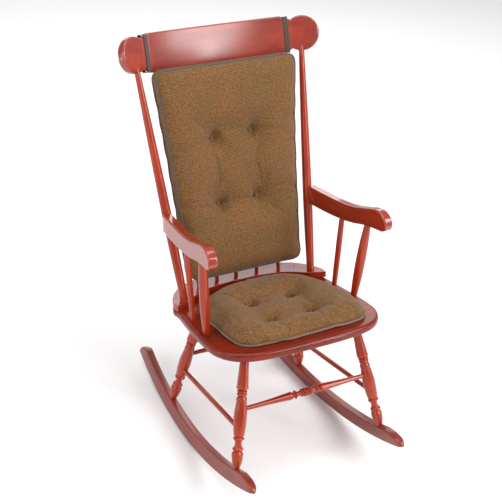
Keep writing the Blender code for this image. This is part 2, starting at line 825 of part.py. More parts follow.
def back_pad_outline():
    """A long trapezoid with round corners, hanging below its upper edge at local Y = 0."""
    r = BACK_PAD_CORNER
    top, foot, length = BACK_PAD_TOP_HALF, BACK_PAD_FOOT_HALF, BACK_PAD_LENGTH
    taper = math.atan((top - foot) / length)
    points = arc((top - r, -r), r, taper, math.pi / 2, 4)
    points += arc((r - top, -r), r, math.pi / 2, math.pi - taper, 4)
    points += arc((r - foot, r - length), r, math.pi - taper, 1.5 * math.pi, 4)
    points += arc((foot - r, r - length), r, 1.5 * math.pi, 2 * math.pi + taper, 4)
    return points


def build_back_pad():
    """Its origin is on the hinge: the line of its two ties, at its upper edge behind."""
    up = Vector((0.0, math.sin(BACK_PAD_LEAN), math.cos(BACK_PAD_LEAN)))
    mesh = board_mesh("back_cushion", [back_pad_outline()], BACK_PAD_THICK)
    mesh.transform(Matrix.Translation((0.0, 0.0, BACK_PAD_THICK / 2)))
    pad = add_part("back_cushion", mesh, principled("tweed_back", FABRIC_COLOUR, 0.9))
    pad.matrix_local = frame_of(BACK_PAD_HINGE, ACROSS, up)
    ease_edges(pad, PAD_EDGE)


def ring_outline(half_x, half_y, corner, count):
    """Rectangle with round corners, centred on the origin."""
    points = []
    for turn, (sx, sy) in enumerate(((1, 1), (-1, 1), (-1, -1), (1, -1))):
        centre = (sx * (half_x - corner), sy * (half_y - corner))
        points += arc(centre, corner, turn * math.pi / 2, (turn + 1) * math.pi / 2, count)
    return points


def build_tie(side, place):
    """A strap sewn into a loop round the crest rail, in the cove between board and ear."""
    u = place(ACROSS).x * CREST_COVE_U
    angle = u / CREST_R
    outward = LEAN_OUT * math.cos(angle) + ACROSS * math.sin(angle)
    half_depth = CREST_THICK / 2 + PAD_CLEAR
    half_height = crest_half_height(CREST_COVE_U - TIE_WIDTH / 2) + PAD_CLEAR
    inner = ring_outline(half_depth, half_height, 0.0034, 3)
    outer = ring_outline(half_depth + TIE_THICK, half_height + TIE_THICK, 0.0056, 3)
    mesh = board_mesh("tie_" + side, [outer, inner], TIE_WIDTH)
    tie = add_part("tie_" + side, mesh, principled("tie_" + side, TIE_COLOUR, 0.85))
    tie.matrix_local = frame_of(on_crest(u, 0.0), outward, LEAN_UP)


# ---- Assembly ----------------------------------------------------------------------------------
def build_underframe(side, place, seat):
    rocker = build_rocker(side, place)
    legs = {}
    for end, top, foot in (
        ("front", place(FRONT_LEG_TOP), place(FRONT_LEG_FOOT)),
        ("rear", place(REAR_LEG_TOP), place(REAR_LEG_FOOT)),
    ):
        leg = build_leg(f"leg_{end}_{side}", top, foot, seat, rocker)
        legs[end] = leg
        way = (top - foot).normalized()
        # From the rocker's lower face, straight up into the end of the leg
        below = foot - way * ROCKER_HEIGHT
        name = f"screw_rocker_{end}_{side}"
        build_screw(name, below, way, ROCKER_SCREW_LENGTH, [rocker, leg])
    build_side_stretcher(
        "side_stretcher_" + side,
        legs["front"],
        legs["rear"],
        at_height(place(FRONT_LEG_TOP), place(FRONT_LEG_FOOT), SIDE_STRETCHER_Z),
        at_height(place(REAR_LEG_TOP), place(REAR_LEG_FOOT), SIDE_STRETCHER_Z),
    )
    return legs


def centre_on_floor():
    """Moves the chair so that its box stands on Z = 0, centred on the origin in plan."""
    bpy.context.view_layer.update()
    graph = bpy.context.evaluated_depsgraph_get()
    corners = []
    for piece in PARTS.objects:
        if piece.type == "MESH":
            shape = piece.evaluated_get(graph)
            matrix = shape.matrix_world
            corners += [matrix @ vertex.co for vertex in shape.data.vertices]
    low_y = min(corner.y for corner in corners)
    high_y = max(corner.y for corner in corners)
    low_z = min(corner.z for corner in corners)
    CHAIR.location = (0.0, -(low_y + high_y) / 2, -low_z)


def main():
    seat, deck = build_seat()
    crest = build_crest()
    posts = build_back(seat, deck, crest)
    legs = {}
    for side, place in sides():
        legs[side] = build_underframe(side, place, seat)
        arm = build_arm(side, place, posts[side])
        build_balusters(side, place, arm, seat)
        build_tie(side, place)
    for end, top, foot in (
        ("front", FRONT_LEG_TOP, FRONT_LEG_FOOT),
        ("rear", REAR_LEG_TOP, REAR_LEG_FOOT),
    ):
        right = at_height(top, foot, CROSS_STRETCHER_Z)
        left = mirrored(right)
        build_cross_stretcher(end + "_stretcher", legs["left"][end], legs["right"][end], left, right)
    build_seat_pad()
    build_back_pad()
    CHAIR.rotation_euler = Euler((-REST_LEAN, 0.0, 0.0))
    centre_on_floor()


main()
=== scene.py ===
"""Looks of the rocking chair: fine turned and sawn wood, and two sewn cushions, round the frame."""

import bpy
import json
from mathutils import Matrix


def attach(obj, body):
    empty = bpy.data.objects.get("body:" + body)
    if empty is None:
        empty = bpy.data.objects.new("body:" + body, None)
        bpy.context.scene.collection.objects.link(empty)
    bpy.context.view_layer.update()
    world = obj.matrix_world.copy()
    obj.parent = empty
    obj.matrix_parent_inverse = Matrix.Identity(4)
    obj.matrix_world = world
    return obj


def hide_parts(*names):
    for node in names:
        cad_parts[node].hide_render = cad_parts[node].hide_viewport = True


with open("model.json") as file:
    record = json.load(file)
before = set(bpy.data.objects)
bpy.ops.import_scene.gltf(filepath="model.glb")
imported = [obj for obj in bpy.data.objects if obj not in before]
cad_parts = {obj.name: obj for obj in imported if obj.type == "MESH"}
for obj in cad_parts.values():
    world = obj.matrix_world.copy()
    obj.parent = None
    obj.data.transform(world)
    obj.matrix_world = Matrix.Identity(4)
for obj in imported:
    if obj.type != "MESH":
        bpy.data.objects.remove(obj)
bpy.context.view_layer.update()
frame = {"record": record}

import json
import math

import bmesh
import bpy
import numpy as np
from mathutils import Matrix, Vector, noise
from mathutils.kdtree import KDTree

# ---- The chair's own frame ---------------------------------------------------------------------
# The seat is level in it, +Y runs to the back and the symmetry plane is X = 0. The record's mount
# on the seat's underside says how that frame leans and where it stands in the world.
SEAT_TOP = 0.416
SEAT_THICK = 0.025
SEAT_BOTTOM = SEAT_TOP - SEAT_THICK
MOUNT = frame["record"]["mounts"][0]
MOUNT_POINT = Vector((0.0, -0.02, SEAT_BOTTOM))
LEAN = math.atan2(-MOUNT["axis"][1], -MOUNT["axis"][2])
TURN = Matrix.Rotation(-LEAN, 4, "X")
CHAIR = Matrix.Translation(Vector(MOUNT["pos_m"]) - TURN @ MOUNT_POINT) @ TURN
WOOD_BODY = "frame"

UP = Vector((0.0, 0.0, 1.0))
ACROSS = Vector((1.0, 0.0, 0.0))
BACKWARD = Vector((0.0, 1.0, 0.0))


def mirrored(point):
    return Vector((-point.x, point.y, point.z))


def sides():
    yield "right", lambda point: point.copy()
    yield "left", mirrored


# ---- Node helpers ------------------------------------------------------------------------------
DRAWN_AT = "drawn_at"  # each point's place in its piece's own frame, which grain and weave follow


class Shader:
    """A Principled material under construction, with short calls for the nodes it needs."""

    def __init__(self, name):
        self.material = bpy.data.materials.new(name)
        self.material.use_nodes = True
        self.tree = self.material.node_tree
        self.surface = self.tree.nodes["Principled BSDF"]
        drawn_at = self.tree.nodes.new("ShaderNodeAttribute")
        drawn_at.attribute_name = DRAWN_AT
        self.place = drawn_at.outputs["Vector"]

    def feed(self, socket, value):
        """Links another node's output to the socket, or sets the socket to a constant."""
        if isinstance(value, bpy.types.NodeSocket):
            self.tree.links.new(value, socket)
        elif socket.type == "RGBA":
            socket.default_value = (*value, 1.0)
        else:
            socket.default_value = value

    def set(self, node=None, **inputs):
        """Feeds inputs of a node, which is the Principled surface unless another is given."""
        for key, value in inputs.items():
            self.feed((node or self.surface).inputs[key.replace("_", " ")], value)

    def node(self, kind, **inputs):
        made = self.tree.nodes.new(kind)
        self.set(made, **inputs)
        return made

    def scaled(self, scale):
        return self.node("ShaderNodeMapping", Vector=self.place, Scale=scale).outputs["Vector"]

    def noise(self, scale, detail=3.0, roughness=0.55, distortion=0.0, place=None):
        made = self.node("ShaderNodeTexNoise", Vector=place or self.place, Scale=scale,
                         Detail=detail, Roughness=roughness, Distortion=distortion)
        return made.outputs["Fac"]

    def math(self, operation, first, second=0.0):
        made = self.tree.nodes.new("ShaderNodeMath")
        made.operation = operation
        self.feed(made.inputs[0], first)
        self.feed(made.inputs[1], second)
        return made.outputs[0]

    def add(self, first, second):
        return self.math("ADD", first, second)

    def times(self, first, second):
        return self.math("MULTIPLY", first, second)

    def wave(self, value, pitch):
        """A sine of the value that repeats at every pitch."""
        return self.math("SINE", self.times(value, 2 * math.pi / pitch))

    def ramp(self, factor, stops):
        made = self.tree.nodes.new("ShaderNodeValToRGB")
        elements = made.color_ramp.elements
        while len(elements) < len(stops):
            elements.new(0.5)
        for element, (position, colour) in zip(elements, stops):
            element.position = position
            element.color = (*colour, 1.0)
        self.feed(made.inputs["Fac"], factor)
        return made.outputs["Color"]

    def mix(self, factor, first, second, blend="MIX"):
        made = self.tree.nodes.new("ShaderNodeMix")
        made.data_type = "RGBA"
        made.blend_type = blend
        for index, value in ((0, factor), (6, first), (7, second)):
            self.feed(made.inputs[index], value)
        return made.outputs[2]

    def dimmed(self, colour, level):
        """The colour multiplied by a grey of the given level."""
        grey = self.node("ShaderNodeCombineColor", Red=level, Green=level, Blue=level)
        return self.mix(1.0, colour, grey.outputs["Color"], "MULTIPLY")

    def span(self, value, low, high, to_low, to_high):
        """The value carried from one range over to another, and held within it."""
        made = self.node("ShaderNodeMapRange", Value=value, From_Min=low, From_Max=high,
                         To_Min=to_low, To_Max=to_high)
        return made.outputs["Result"]

    def bump(self, height, strength, distance):
        made = self.node("ShaderNodeBump", Height=height, Strength=strength, Distance=distance)
        return made.outputs["Normal"]

    def pointiness(self):
        return self.node("ShaderNodeNewGeometry").outputs["Pointiness"]


# ---- Materials ---------------------------------------------------------------------------------
# Noise scales in X, Y and Z for a grain that runs along X or Z: low along it, high across it.
GRAIN_ALONG = {"X": (1.6, 26.0, 26.0), "Z": (26.0, 26.0, 1.6)}
PORES_ALONG = {"X": (14.0, 420.0, 420.0), "Z": (420.0, 420.0, 14.0)}
RIB_PITCH = 0.0056
PICK_PITCH = 0.004
CORD_PITCH = 0.0024
TAPE_PITCH = 0.0021


def lacquer(name, along, deep, warm, gloss, coat=0.5, coat_ior=1.5, coat_rough=0.06):
    """Stained wood under clear lacquer: soft grain along one axis, pores, and painted edge
    highlights.
    """
    shader = Shader(name)
    grain = shader.noise(1.0, 7.0, 0.62, 0.8, shader.scaled(GRAIN_ALONG[along]))
    pores = shader.noise(1.0, 3.0, 0.7, 0.0, shader.scaled(PORES_ALONG[along]))
    cloud = shader.noise(7.0, 3.0, 0.5)
    tone = shader.add(shader.times(grain, 0.8), shader.times(cloud, 0.35))
    middle = tuple((a + b) / 2 for a, b in zip(deep, warm))
    colour = shader.ramp(tone, [(0.34, deep), (0.56, middle), (0.78, warm)])
    pored = shader.dimmed(colour, shader.span(pores, 0.3, 0.52, 0.72, 1.0))
    # Painted highlight: the rounded edges are paled where the surface bends sharply.
    edge_highlight = shader.span(shader.pointiness(), 0.52, 0.6, 0.0, 0.35)
    edge_highlight_colour = tuple(min(1.0, c * 1.7 + 0.03) for c in warm)
    rough = shader.add(shader.times(pores, 0.35), grain)
    shader.set(
        Base_Color=shader.mix(edge_highlight, pored, edge_highlight_colour),
        Roughness=shader.span(cloud, 0.3, 0.7, gloss, gloss + 0.09),
        Normal=shader.bump(rough, 0.1, 0.0006),
        Coat_Weight=coat,
        Coat_Roughness=coat_rough,
        Coat_IOR=coat_ior,
        Specular_IOR_Level=0.22,
    )
    return shader.material


def tweed(name, dark, tan, olive, red):
    """Chenille twill: diagonal ribs of short tufted yarn, mottled olive and reddish brown."""
    shader = Shader(name)
    split = shader.node("ShaderNodeSeparateXYZ", Vector=shader.place)
    x, y, z = (split.outputs[axis] for axis in "XYZ")
    wander = shader.times(shader.noise(60.0, 2.0), 0.0035)
    over = shader.add(y, shader.times(z, 0.6))
    diagonal = shader.add(shader.add(shader.add(x, z), wander), shader.times(over, 0.9))
    weave = shader.add(shader.times(shader.wave(diagonal, RIB_PITCH), 0.24),
                       shader.times(shader.wave(over, PICK_PITCH), 0.13))
    fibre = shader.noise(420.0, 3.0, 0.75)
    slub = shader.noise(150.0, 2.0, 0.6)
    height = shader.add(shader.add(weave, fibre), shader.times(slub, 0.7))
    # The colour follows the weave's height: random fibre and slub tone, plus painted shade in the
    # hollows and painted light on raised yarn.
    tone = shader.span(height, 0.35, 1.35, 0.0, 1.0)
    ground = shader.ramp(tone, [(0.0, dark), (0.55, tan), (1.0, tuple(c * 1.55 for c in tan))])
    patches = shader.noise(13.0, 4.0, 0.6)
    flecks = shader.noise(120.0, 2.0, 0.6)
    tinted = shader.mix(shader.span(patches, 0.44, 0.64, 0.0, 0.42), ground, olive)
    flecked = shader.mix(shader.span(flecks, 0.52, 0.7, 0.0, 0.45), tinted, red)
    # The dimming by height is painted shade in the weave's hollows and painted light on its raised
    # yarn.
    shader.set(
        Base_Color=shader.dimmed(flecked, shader.span(height, 0.35, 1.25, 0.38, 1.38)),
        Roughness=shader.span(fibre, 0.3, 0.7, 0.82, 0.97),
        Normal=shader.bump(height, 0.55, 0.0009),
        Sheen_Weight=0.12,
        Sheen_Roughness=0.55,
        Specular_IOR_Level=0.2,
    )
    return shader.material


def tape(name, dark, light, pitch):
    """Woven tape and piping cord: fine cross ribs with loose fibres."""
    shader = Shader(name)
    split = shader.node("ShaderNodeSeparateXYZ", Vector=shader.place)
    x, y, z = (split.outputs[axis] for axis in "XYZ")
    ribs = shader.wave(shader.add(shader.add(x, y), z), pitch)
    fibre = shader.noise(700.0, 3.0, 0.7)
    height = shader.add(shader.times(ribs, 0.35), fibre)
    tone = shader.span(height, 0.2, 1.0, 0.0, 1.0)
    # The colour follows the ribs' height and the fibres: random fibre tone, painted shade between
    # the ribs, painted light on them.
    shader.set(
        Base_Color=shader.ramp(tone, [(0.0, dark), (1.0, light)]),
        Roughness=shader.span(fibre, 0.3, 0.7, 0.8, 0.95),
        Normal=shader.bump(height, 0.6, 0.0006),
        Sheen_Weight=0.3,
    )
    return shader.material


def steel(name, black, dark, worn):
    """Blackened screw steel with turning marks and a worn, brighter rim."""
    shader = Shader(name)
    spots = shader.noise(900.0, 3.0)
    rim = shader.span(shader.pointiness(), 0.5, 0.62, 0.0, 1.0)
    shader.set(
        Base_Color=shader.mix(rim, shader.ramp(spots, [(0.35, black), (0.7, dark)]), worn),
        Roughness=shader.span(spots, 0.3, 0.7, 0.3, 0.5),
        Metallic=0.6,
    )
    return shader.material


def floor_material():
    shader = Shader("studio_floor")
    tone = shader.noise(0.8, 2.0)
    shader.set(Base_Color=shader.ramp(tone, [(0.3, (0.9, 0.9, 0.9)), (0.7, (0.93, 0.93, 0.93))]),
               Roughness=0.9)
    return shader.material


DEEP_RED = (0.145, 0.0075, 0.0028)
WARM_RED = (0.37, 0.028, 0.0052)
WOOD = {
    "turned": lacquer("turned_cherry", "Z", (0.15, 0.008, 0.0026), (0.44, 0.037, 0.0056), 0.16),
    "crest": lacquer("crest_cherry", "X", DEEP_RED, WARM_RED, 0.24, 1.0, 1.6, 0.26),
    # The seat's wood has a darker base colour than the other wood: painted shade on its top.
    "seat": lacquer("seat_cherry_painted_shade", "X", (0.09, 0.0056, 0.0026), (0.255, 0.018, 0.0046), 0.22,
                    0.22),
    "deck": lacquer("deck_cherry", "X", DEEP_RED, WARM_RED, 0.2, 0.7, 1.55, 0.16),
    # The rockers' greyer, pinker base colour is a painted reflection of the pale floor.
    "rocker": lacquer("rocker_cherry_painted_reflection", "X", (0.12, 0.0125, 0.007), (0.28, 0.036, 0.019), 0.28),
    "arm": lacquer("arm_cherry", "X", (0.13, 0.0075, 0.0035), (0.38, 0.028, 0.0065), 0.15,
                   0.8, 1.75),
}
TWEED = tweed("tweed_cover", (0.045, 0.021, 0.007), (0.168, 0.079, 0.024), (0.112, 0.072, 0.02),
              (0.195, 0.064, 0.034))
WELT_BROWN = tape("welt_brown", (0.05, 0.032, 0.02), (0.135, 0.09, 0.055), CORD_PITCH)
WELT_GREY = tape("welt_grey", (0.105, 0.075, 0.05), (0.25, 0.18, 0.125), CORD_PITCH)
TAPE = tape("tie_tape", (0.03, 0.02, 0.016), (0.105, 0.075, 0.058), TAPE_PITCH)
STEEL = steel("screw_steel", (0.018, 0.014, 0.012), (0.06, 0.05, 0.045), (0.09, 0.08, 0.075))


# ---- Building pieces ---------------------------------------------------------------------------
def coordinates(mesh):
    flat = np.empty(len(mesh.vertices) * 3)
    mesh.vertices.foreach_get("co", flat)
    return flat.reshape(-1, 3)


def give(mesh, points):
    mesh.vertices.foreach_set("co", np.ascontiguousarray(points, dtype=float).ravel())
    mesh.update()


def tree_of(points):
    tree = KDTree(len(points))
    for index, point in enumerate(points):
        tree.insert(point, index)
    tree.balance()
    return tree


def new_object(name, data):
    made = bpy.data.objects.new(name, data)
    bpy.context.scene.collection.objects.link(made)
    return made


def note_drawing(mesh, points):
    drawn = mesh.attributes.new(DRAWN_AT, "FLOAT_VECTOR", "POINT")
    drawn.data.foreach_set("vector", np.ascontiguousarray(points).ravel())


def put_in_place(mesh, place):
    """Moves the mesh to its place in the world, and notes on it where each point was drawn."""
    if DRAWN_AT not in mesh.attributes:
        note_drawing(mesh, coordinates(mesh))
    mesh.transform(CHAIR @ place)


def applied(piece):
    """The piece's mesh with its modifiers applied."""
    bpy.context.view_layer.update()
    graph = bpy.context.evaluated_depsgraph_get()
    return bpy.data.meshes.new_from_object(piece.evaluated_get(graph))


def add_piece(name, mesh, material, place, nodes=(), body=WOOD_BODY):
    """Adds a piece at its place in the chair's frame, riding on a body and standing for nodes."""
    piece = new_object(name, mesh)
    mesh.materials.clear()
    mesh.materials.append(material)
    put_in_place(mesh, place)
    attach(piece, body)
    if nodes:
        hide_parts(*nodes)


def frame_of(origin, x_axis, y_axis):
    """Placement with the local X and Y axes along the given directions."""
    x_axis = x_axis.normalized()
    z_axis = x_axis.cross(y_axis).normalized()
    rows = Matrix((x_axis, z_axis.cross(x_axis), z_axis)).transposed()
    return Matrix.Translation(origin) @ rows.to_4x4()


def finish_mesh(name, skin, sharp=None):
    """Smooth mesh of the skin, with the edges that turn by more than sharp degrees kept sharp."""
    bmesh.ops.recalc_face_normals(skin, faces=skin.faces)
    mesh = bpy.data.meshes.new(name)
    skin.to_mesh(mesh)
    skin.free()
    mesh.shade_smooth()
    if sharp is not None:
        mesh.set_sharp_from_angle(angle=math.radians(sharp))
    return mesh


def loft_mesh(name, rings, sharp, closed=False):
    """Skin over rings with equal numbers of points, capped at both ends unless it closes."""
    skin = bmesh.new()
    loops = [[skin.verts.new(point) for point in ring] for ring in rings]
    pairs = list(zip(loops, loops[1:]))
    if closed:
        pairs.append((loops[-1], loops[0]))
    for ring, following in pairs:
        for i in range(len(ring)):
            j = (i + 1) % len(ring)
            skin.faces.new((ring[i], ring[j], following[j], following[i]))
    if not closed:
        skin.faces.new(loops[0])
        skin.faces.new(loops[-1])
    return finish_mesh(name, skin, sharp)


TURNED_SIDES = 48
TURNED_STEPS = 4  # rings for each facet that the CAD profile has


def profile_of(first_radius, sections):
    """Points (distance, radius) of a turned outline: each section's length, end radius, bulge and
    number of facets, as in the solid, but drawn TURNED_STEPS times as fine."""
    points = [(0.0, first_radius)]
    distance = 0.0
    radius = first_radius
    for length, end_radius, bulge, facets in sections:
        count = 1 if facets == 1 and bulge == 0.0 else facets * TURNED_STEPS
        for i in range(1, count + 1):
            t = i / count
            swell = bulge * math.sin(math.pi * t)
            points.append((distance + length * t, radius + (end_radius - radius) * t + swell))
        distance += length
        radius = end_radius
    return points


def circle(radius, height, count):
    """Points round the Z axis at a height."""
    angles = (2 * math.pi * i / count for i in range(count))
    return [Vector((radius * math.cos(a), radius * math.sin(a), height)) for a in angles]


def turned(name, profile, start, end):
    """A turned piece whose axis runs from start towards end; local -Z is the axis."""
    rings = [circle(radius, -distance, TURNED_SIDES) for distance, radius in profile]
    mesh = loft_mesh(name, rings, sharp=24.0)
    way = (end - start).to_track_quat("-Z", "Y")
    place = Matrix.Translation(start) @ way.to_matrix().to_4x4()
    add_piece(name + "_fine", mesh, WOOD["turned"], place, (name,))


def arc(centre, radius, start, end, count):
    steps = [start + (end - start) * i / (count - 1) for i in range(count)]
    return [(centre[0] + radius * math.cos(a), centre[1] + radius * math.sin(a)) for a in steps]


def ring_outline(half_x, half_y, corner, count):
    """Rectangle with round corners, centred on the origin."""
    points = []
    for turn, (sx, sy) in enumerate(((1, 1), (-1, 1), (-1, -1), (1, -1))):
        centre = (sx * (half_x - corner), sy * (half_y - corner))
        points += arc(centre, corner, turn * math.pi / 2, (turn + 1) * math.pi / 2, count)
    return points


def smooth_line(points, count):
    """Catmull-Rom curve through the points, with count steps between neighbours."""

    def between(a, b, c, d, t):
        bend = (2 * a - 5 * b + 4 * c - d) * t * t + (3 * b - a - 3 * c + d) * t ** 3
        return 0.5 * (2 * b + (c - a) * t + bend)

    padded = [points[0], *points, points[-1]]
    line = []
    for four in zip(padded, padded[1:], padded[2:], padded[3:]):
        line += [tuple(between(*axis, i / count) for axis in zip(*four)) for i in range(count)]
    line.append(tuple(points[-1]))
    return line


def both_halves(half):
    """Closes an outline whose right half starts and ends on the plane of symmetry."""
    return half + [(-x, y) for x, y in reversed(half[1:-1])]


def prism_mesh(name, outline, thickness):
    """Flat outline in local XY, extruded both ways from Z = 0."""
    skin = bmesh.new()
    low = [skin.verts.new((x, y, -thickness / 2)) for x, y in outline]
    high = [skin.verts.new((x, y, thickness / 2)) for x, y in outline]
    for i in range(len(outline)):
        j = (i + 1) % len(outline)
        skin.faces.new((low[i], low[j], high[j], high[i]))
    skin.faces.new(high)
    skin.faces.new(low)
    bmesh.ops.remove_doubles(skin, verts=skin.verts, dist=0.00001)
    return finish_mesh(name, skin)


def board(name, outline, thickness, place, material, edge, segments):
    """A sawn board with rounded edges, and faces that shade flat."""
    blank = new_object(name + "_blank", prism_mesh(name, outline, thickness))
    bevel = blank.modifiers.new("eased_edges", "BEVEL")
    bevel.width = edge
    bevel.segments = segments
    bevel.limit_method = "ANGLE"
    bevel.angle_limit = math.radians(50.0)
    normals = blank.modifiers.new("flat_faces", "WEIGHTED_NORMAL")
    normals.keep_sharp = True
    normals.weight = 100
    mesh = applied(blank)
    bpy.data.objects.remove(blank, do_unlink=True)
    add_piece(name + "_fine", mesh, material, place, (name,))


# ---- Seat and deck -----------------------------------------------------------------------------
DECK_THICK = 0.018
DECK_TOP = SEAT_TOP + DECK_THICK
SEAT_EDGE = 0.0095
DECK_EDGE = 0.0045
REAR_EDGE = [(0.244, 0.103), (0.245, 0.13), (0.2335, 0.159), (0.212, 0.1895),
             (0.18, 0.217), (0.12, 0.244), (0.06, 0.2585), (0.0, 0.262)]
SEAT_FRONT = [(0.0, -0.235), (0.1, -0.2325), (0.18, -0.221), (0.228, -0.194),
              (0.255, -0.15), (0.261, -0.1), (0.257, -0.02), (0.25, 0.05)]
DECK_FRONT = [(0.0, 0.18), (0.07, 0.1755), (0.14, 0.158), (0.196, 0.121)]


def build_seat():
    place = frame_of(Vector((0.0, 0.0, SEAT_TOP - SEAT_THICK / 2)), ACROSS, BACKWARD)
    outline = both_halves(smooth_line(SEAT_FRONT + REAR_EDGE, 8))
    board("seat", outline, SEAT_THICK, place, WOOD["seat"], SEAT_EDGE, 8)
    rear = smooth_line(REAR_EDGE, 8)
    front = smooth_line(DECK_FRONT, 8)
    right = [front[-1], *rear]
    left = [(-x, y) for x, y in reversed(right[:-1])]
    inner = sorted(front[:-1] + [(-x, y) for x, y in front[1:-1]])
    place = frame_of(Vector((0.0, 0.0, SEAT_TOP + DECK_THICK / 2)), ACROSS, BACKWARD)
    board("back_deck", right + left + inner, DECK_THICK, place, WOOD["deck"], DECK_EDGE, 5)


# ---- Rockers -----------------------------------------------------------------------------------
ROCKER_ORIGIN = Vector((0.2231, 0.0, 0.09))
ROCKER_CANT = math.radians(10.2)
ROCKER_TOE_OUT = math.radians(2.1)
ROCKER_R = 1.08
ROCKER_LOW = -0.0752
ROCKER_HEIGHT = 0.0425
ROCKER_WIDTH = 0.023
ROCKER_FRONT = -0.33
ROCKER_REAR = 0.458
ROCKER_NOSE = 0.072
ROCKER_TAIL = 0.04
ROCKER_EDGE = 0.0036
SNOUT = 0.02  # how far back the tip is rounded in plan
# Height of the upper edge over the nose and the tail, as (share of its length, share of its rise).
NOSE_LINE = [(0.0, 0.2), (0.06, 0.46), (0.25, 0.78), (0.58, 1.0), (1.0, 1.0)]
TAIL_LINE = [(1.0, 1.0), (0.35, 0.8), (0.08, 0.5), (0.0, 0.22)]


def rocker_sections():
    """Rounded rectangles along the rocker, from its snout to its rounded rear end."""
    centre_z = ROCKER_LOW + ROCKER_R
    top_r = ROCKER_R - ROCKER_HEIGHT
    front = [ROCKER_FRONT + ROCKER_NOSE * (1 - math.cos(math.pi / 2 * i / 20)) for i in range(21)]
    middle_length = ROCKER_REAR - ROCKER_TAIL - front[-1]
    middle = [front[-1] + middle_length * i / 60 for i in range(1, 60)]
    rear = [ROCKER_REAR - ROCKER_TAIL * (1 - math.sin(math.pi / 2 * i / 14)) for i in range(15)]
    rings = []

    def arc_height(y, radius):
        return centre_z - math.sqrt(radius ** 2 - y ** 2)

    tip, end = arc_height(ROCKER_FRONT, ROCKER_R), arc_height(ROCKER_REAR, ROCKER_R)
    drop = arc_height(ROCKER_FRONT + ROCKER_NOSE, top_r) - tip
    rise = arc_height(ROCKER_REAR - ROCKER_TAIL, top_r) - end
    nose = smooth_line([(ROCKER_FRONT + ROCKER_NOSE * along, tip + drop * share)
                        for along, share in NOSE_LINE], 6)
    tail = smooth_line([(ROCKER_REAR - ROCKER_TAIL * along, end + rise * share)
                        for along, share in TAIL_LINE], 6)
    for y in front + middle + rear:
        low = arc_height(y, ROCKER_R)
        high = arc_height(y, top_r)
        if y < ROCKER_FRONT + ROCKER_NOSE:
            high = float(np.interp(y, *zip(*nose)))
        if y > ROCKER_REAR - ROCKER_TAIL:
            high = float(np.interp(y, *zip(*tail)))
        near = max(0.0, (ROCKER_FRONT + SNOUT - y) / SNOUT)
        half = ROCKER_WIDTH / 2 * math.sqrt(max(0.1, 1 - near ** 2.2))
        edge = min(ROCKER_EDGE, (high - low) * 0.45, half * 0.9)
        section = ring_outline(half, (high - low) / 2, edge, 5)
        rings.append([Vector((y, (high + low) / 2 + up, across)) for across, up in section])
    return rings


def build_rocker(side, place):
    sign = place(ACROSS).x
    run = Vector((-sign * math.sin(ROCKER_TOE_OUT), math.cos(ROCKER_TOE_OUT), 0.0))
    up = Vector((-sign * math.sin(ROCKER_CANT), 0.0, math.cos(ROCKER_CANT)))
    where = frame_of(place(ROCKER_ORIGIN), run, up)
    mesh = loft_mesh("rocker_" + side, rocker_sections(), sharp=35.0)
    add_piece(f"rocker_{side}_fine", mesh, WOOD["rocker"], where, ("rocker_" + side,))


# ---- Legs and stretchers -----------------------------------------------------------------------
LEGS = {
    "front": (Vector((0.1743, -0.1626, SEAT_BOTTOM)), Vector((0.2329, -0.2195, 0.0806))),
    "rear": (Vector((0.1624, 0.1174, SEAT_BOTTOM)), Vector((0.2175, 0.209, 0.079))),
}
LEG_TENON_R = 0.0119
LEG_FOOT_R = 0.0084
LEG_IN_SEAT = 0.018
LEG_IN_ROCKER = 0.016
SIDE_STRETCHER_Z = 0.188
SIDE_STRETCHER_R = 0.0065
CROSS_STRETCHER_Z = 0.24
CROSS_STRETCHER_R = 0.0062
STRETCHER_INSET = 0.0045


def leg_profile(visible):
    turnings = [
        (0.005, 0.0112, -0.0006, 2),
        (0.0064, 0.0112, 0.003, 3),
        (0.01, 0.0108, 0.0032, 3),
        (0.015, 0.014, 0.002, 3),
        (0.0946, 0.0146, 0.0036, 6),
        (0.004, 0.0118, -0.0004, 2),
        (0.01, 0.0114, 0.0036, 4),
        (0.0185, 0.0112, -0.002, 4),
        (0.0115, 0.0114, 0.0036, 4),
        (0.008, 0.0158, 0.0004, 3),
        (0.042, LEG_FOOT_R, 0.0018, 5),
    ]
    vase = visible - sum(section[0] for section in turnings)
    top = [(LEG_IN_SEAT, LEG_TENON_R, 0.0, 1), (vase, 0.0166, -0.0008, 3)]
    return profile_of(LEG_TENON_R, [*top, *turnings, (LEG_IN_ROCKER, LEG_FOOT_R, 0.0, 1)])


def at_height(top, foot, height):
    return top.lerp(foot, (top.z - height) / (top.z - foot.z))


def side_stretcher_profile(length):
    return profile_of(SIDE_STRETCHER_R, [(length, SIDE_STRETCHER_R, 0.0006, 4)])


def cross_stretcher_profile(length):
    """Both halves alike, each with two beads and a ring on the way to the middle."""
    first = profile_of(CROSS_STRETCHER_R, [
        (length / 2 - 0.052, 0.0112, -0.0014, 5),
        (0.011, 0.008, 0.0014, 3),
        (0.004, 0.0078, -0.0006, 2),
        (0.0065, 0.0078, 0.0046, 4),
        (0.014, 0.0082, -0.0012, 3),
        (0.0075, 0.0086, 0.0032, 4),
        (0.009, 0.0088, 0.0036, 4),
    ])
    total = first[-1][0]
    return first + [(2 * total - distance, radius) for distance, radius in reversed(first[:-1])]


def build_stretcher(name, start, end, profile_at):
    """A turned rail between the axes of two legs, which it enters on both sides."""
    inset = (end - start).normalized() * STRETCHER_INSET
    length = (end - start).length - 2 * STRETCHER_INSET
    turned(name, profile_at(length), start + inset, end)


def build_underframe():
    for side, place in sides():
        build_rocker(side, place)
        for end, (top, foot) in LEGS.items():
            way = (place(foot) - place(top)).normalized()
            profile = leg_profile((foot - top).length)
            turned(f"leg_{end}_{side}", profile, place(top) - way * LEG_IN_SEAT, place(foot))
        front, rear = (place(at_height(*leg, SIDE_STRETCHER_Z)) for leg in LEGS.values())
        build_stretcher("side_stretcher_" + side, front, rear, side_stretcher_profile)
    for end, leg in LEGS.items():
        right = at_height(*leg, CROSS_STRETCHER_Z)
        build_stretcher(end + "_stretcher", mirrored(right), right, cross_stretcher_profile)


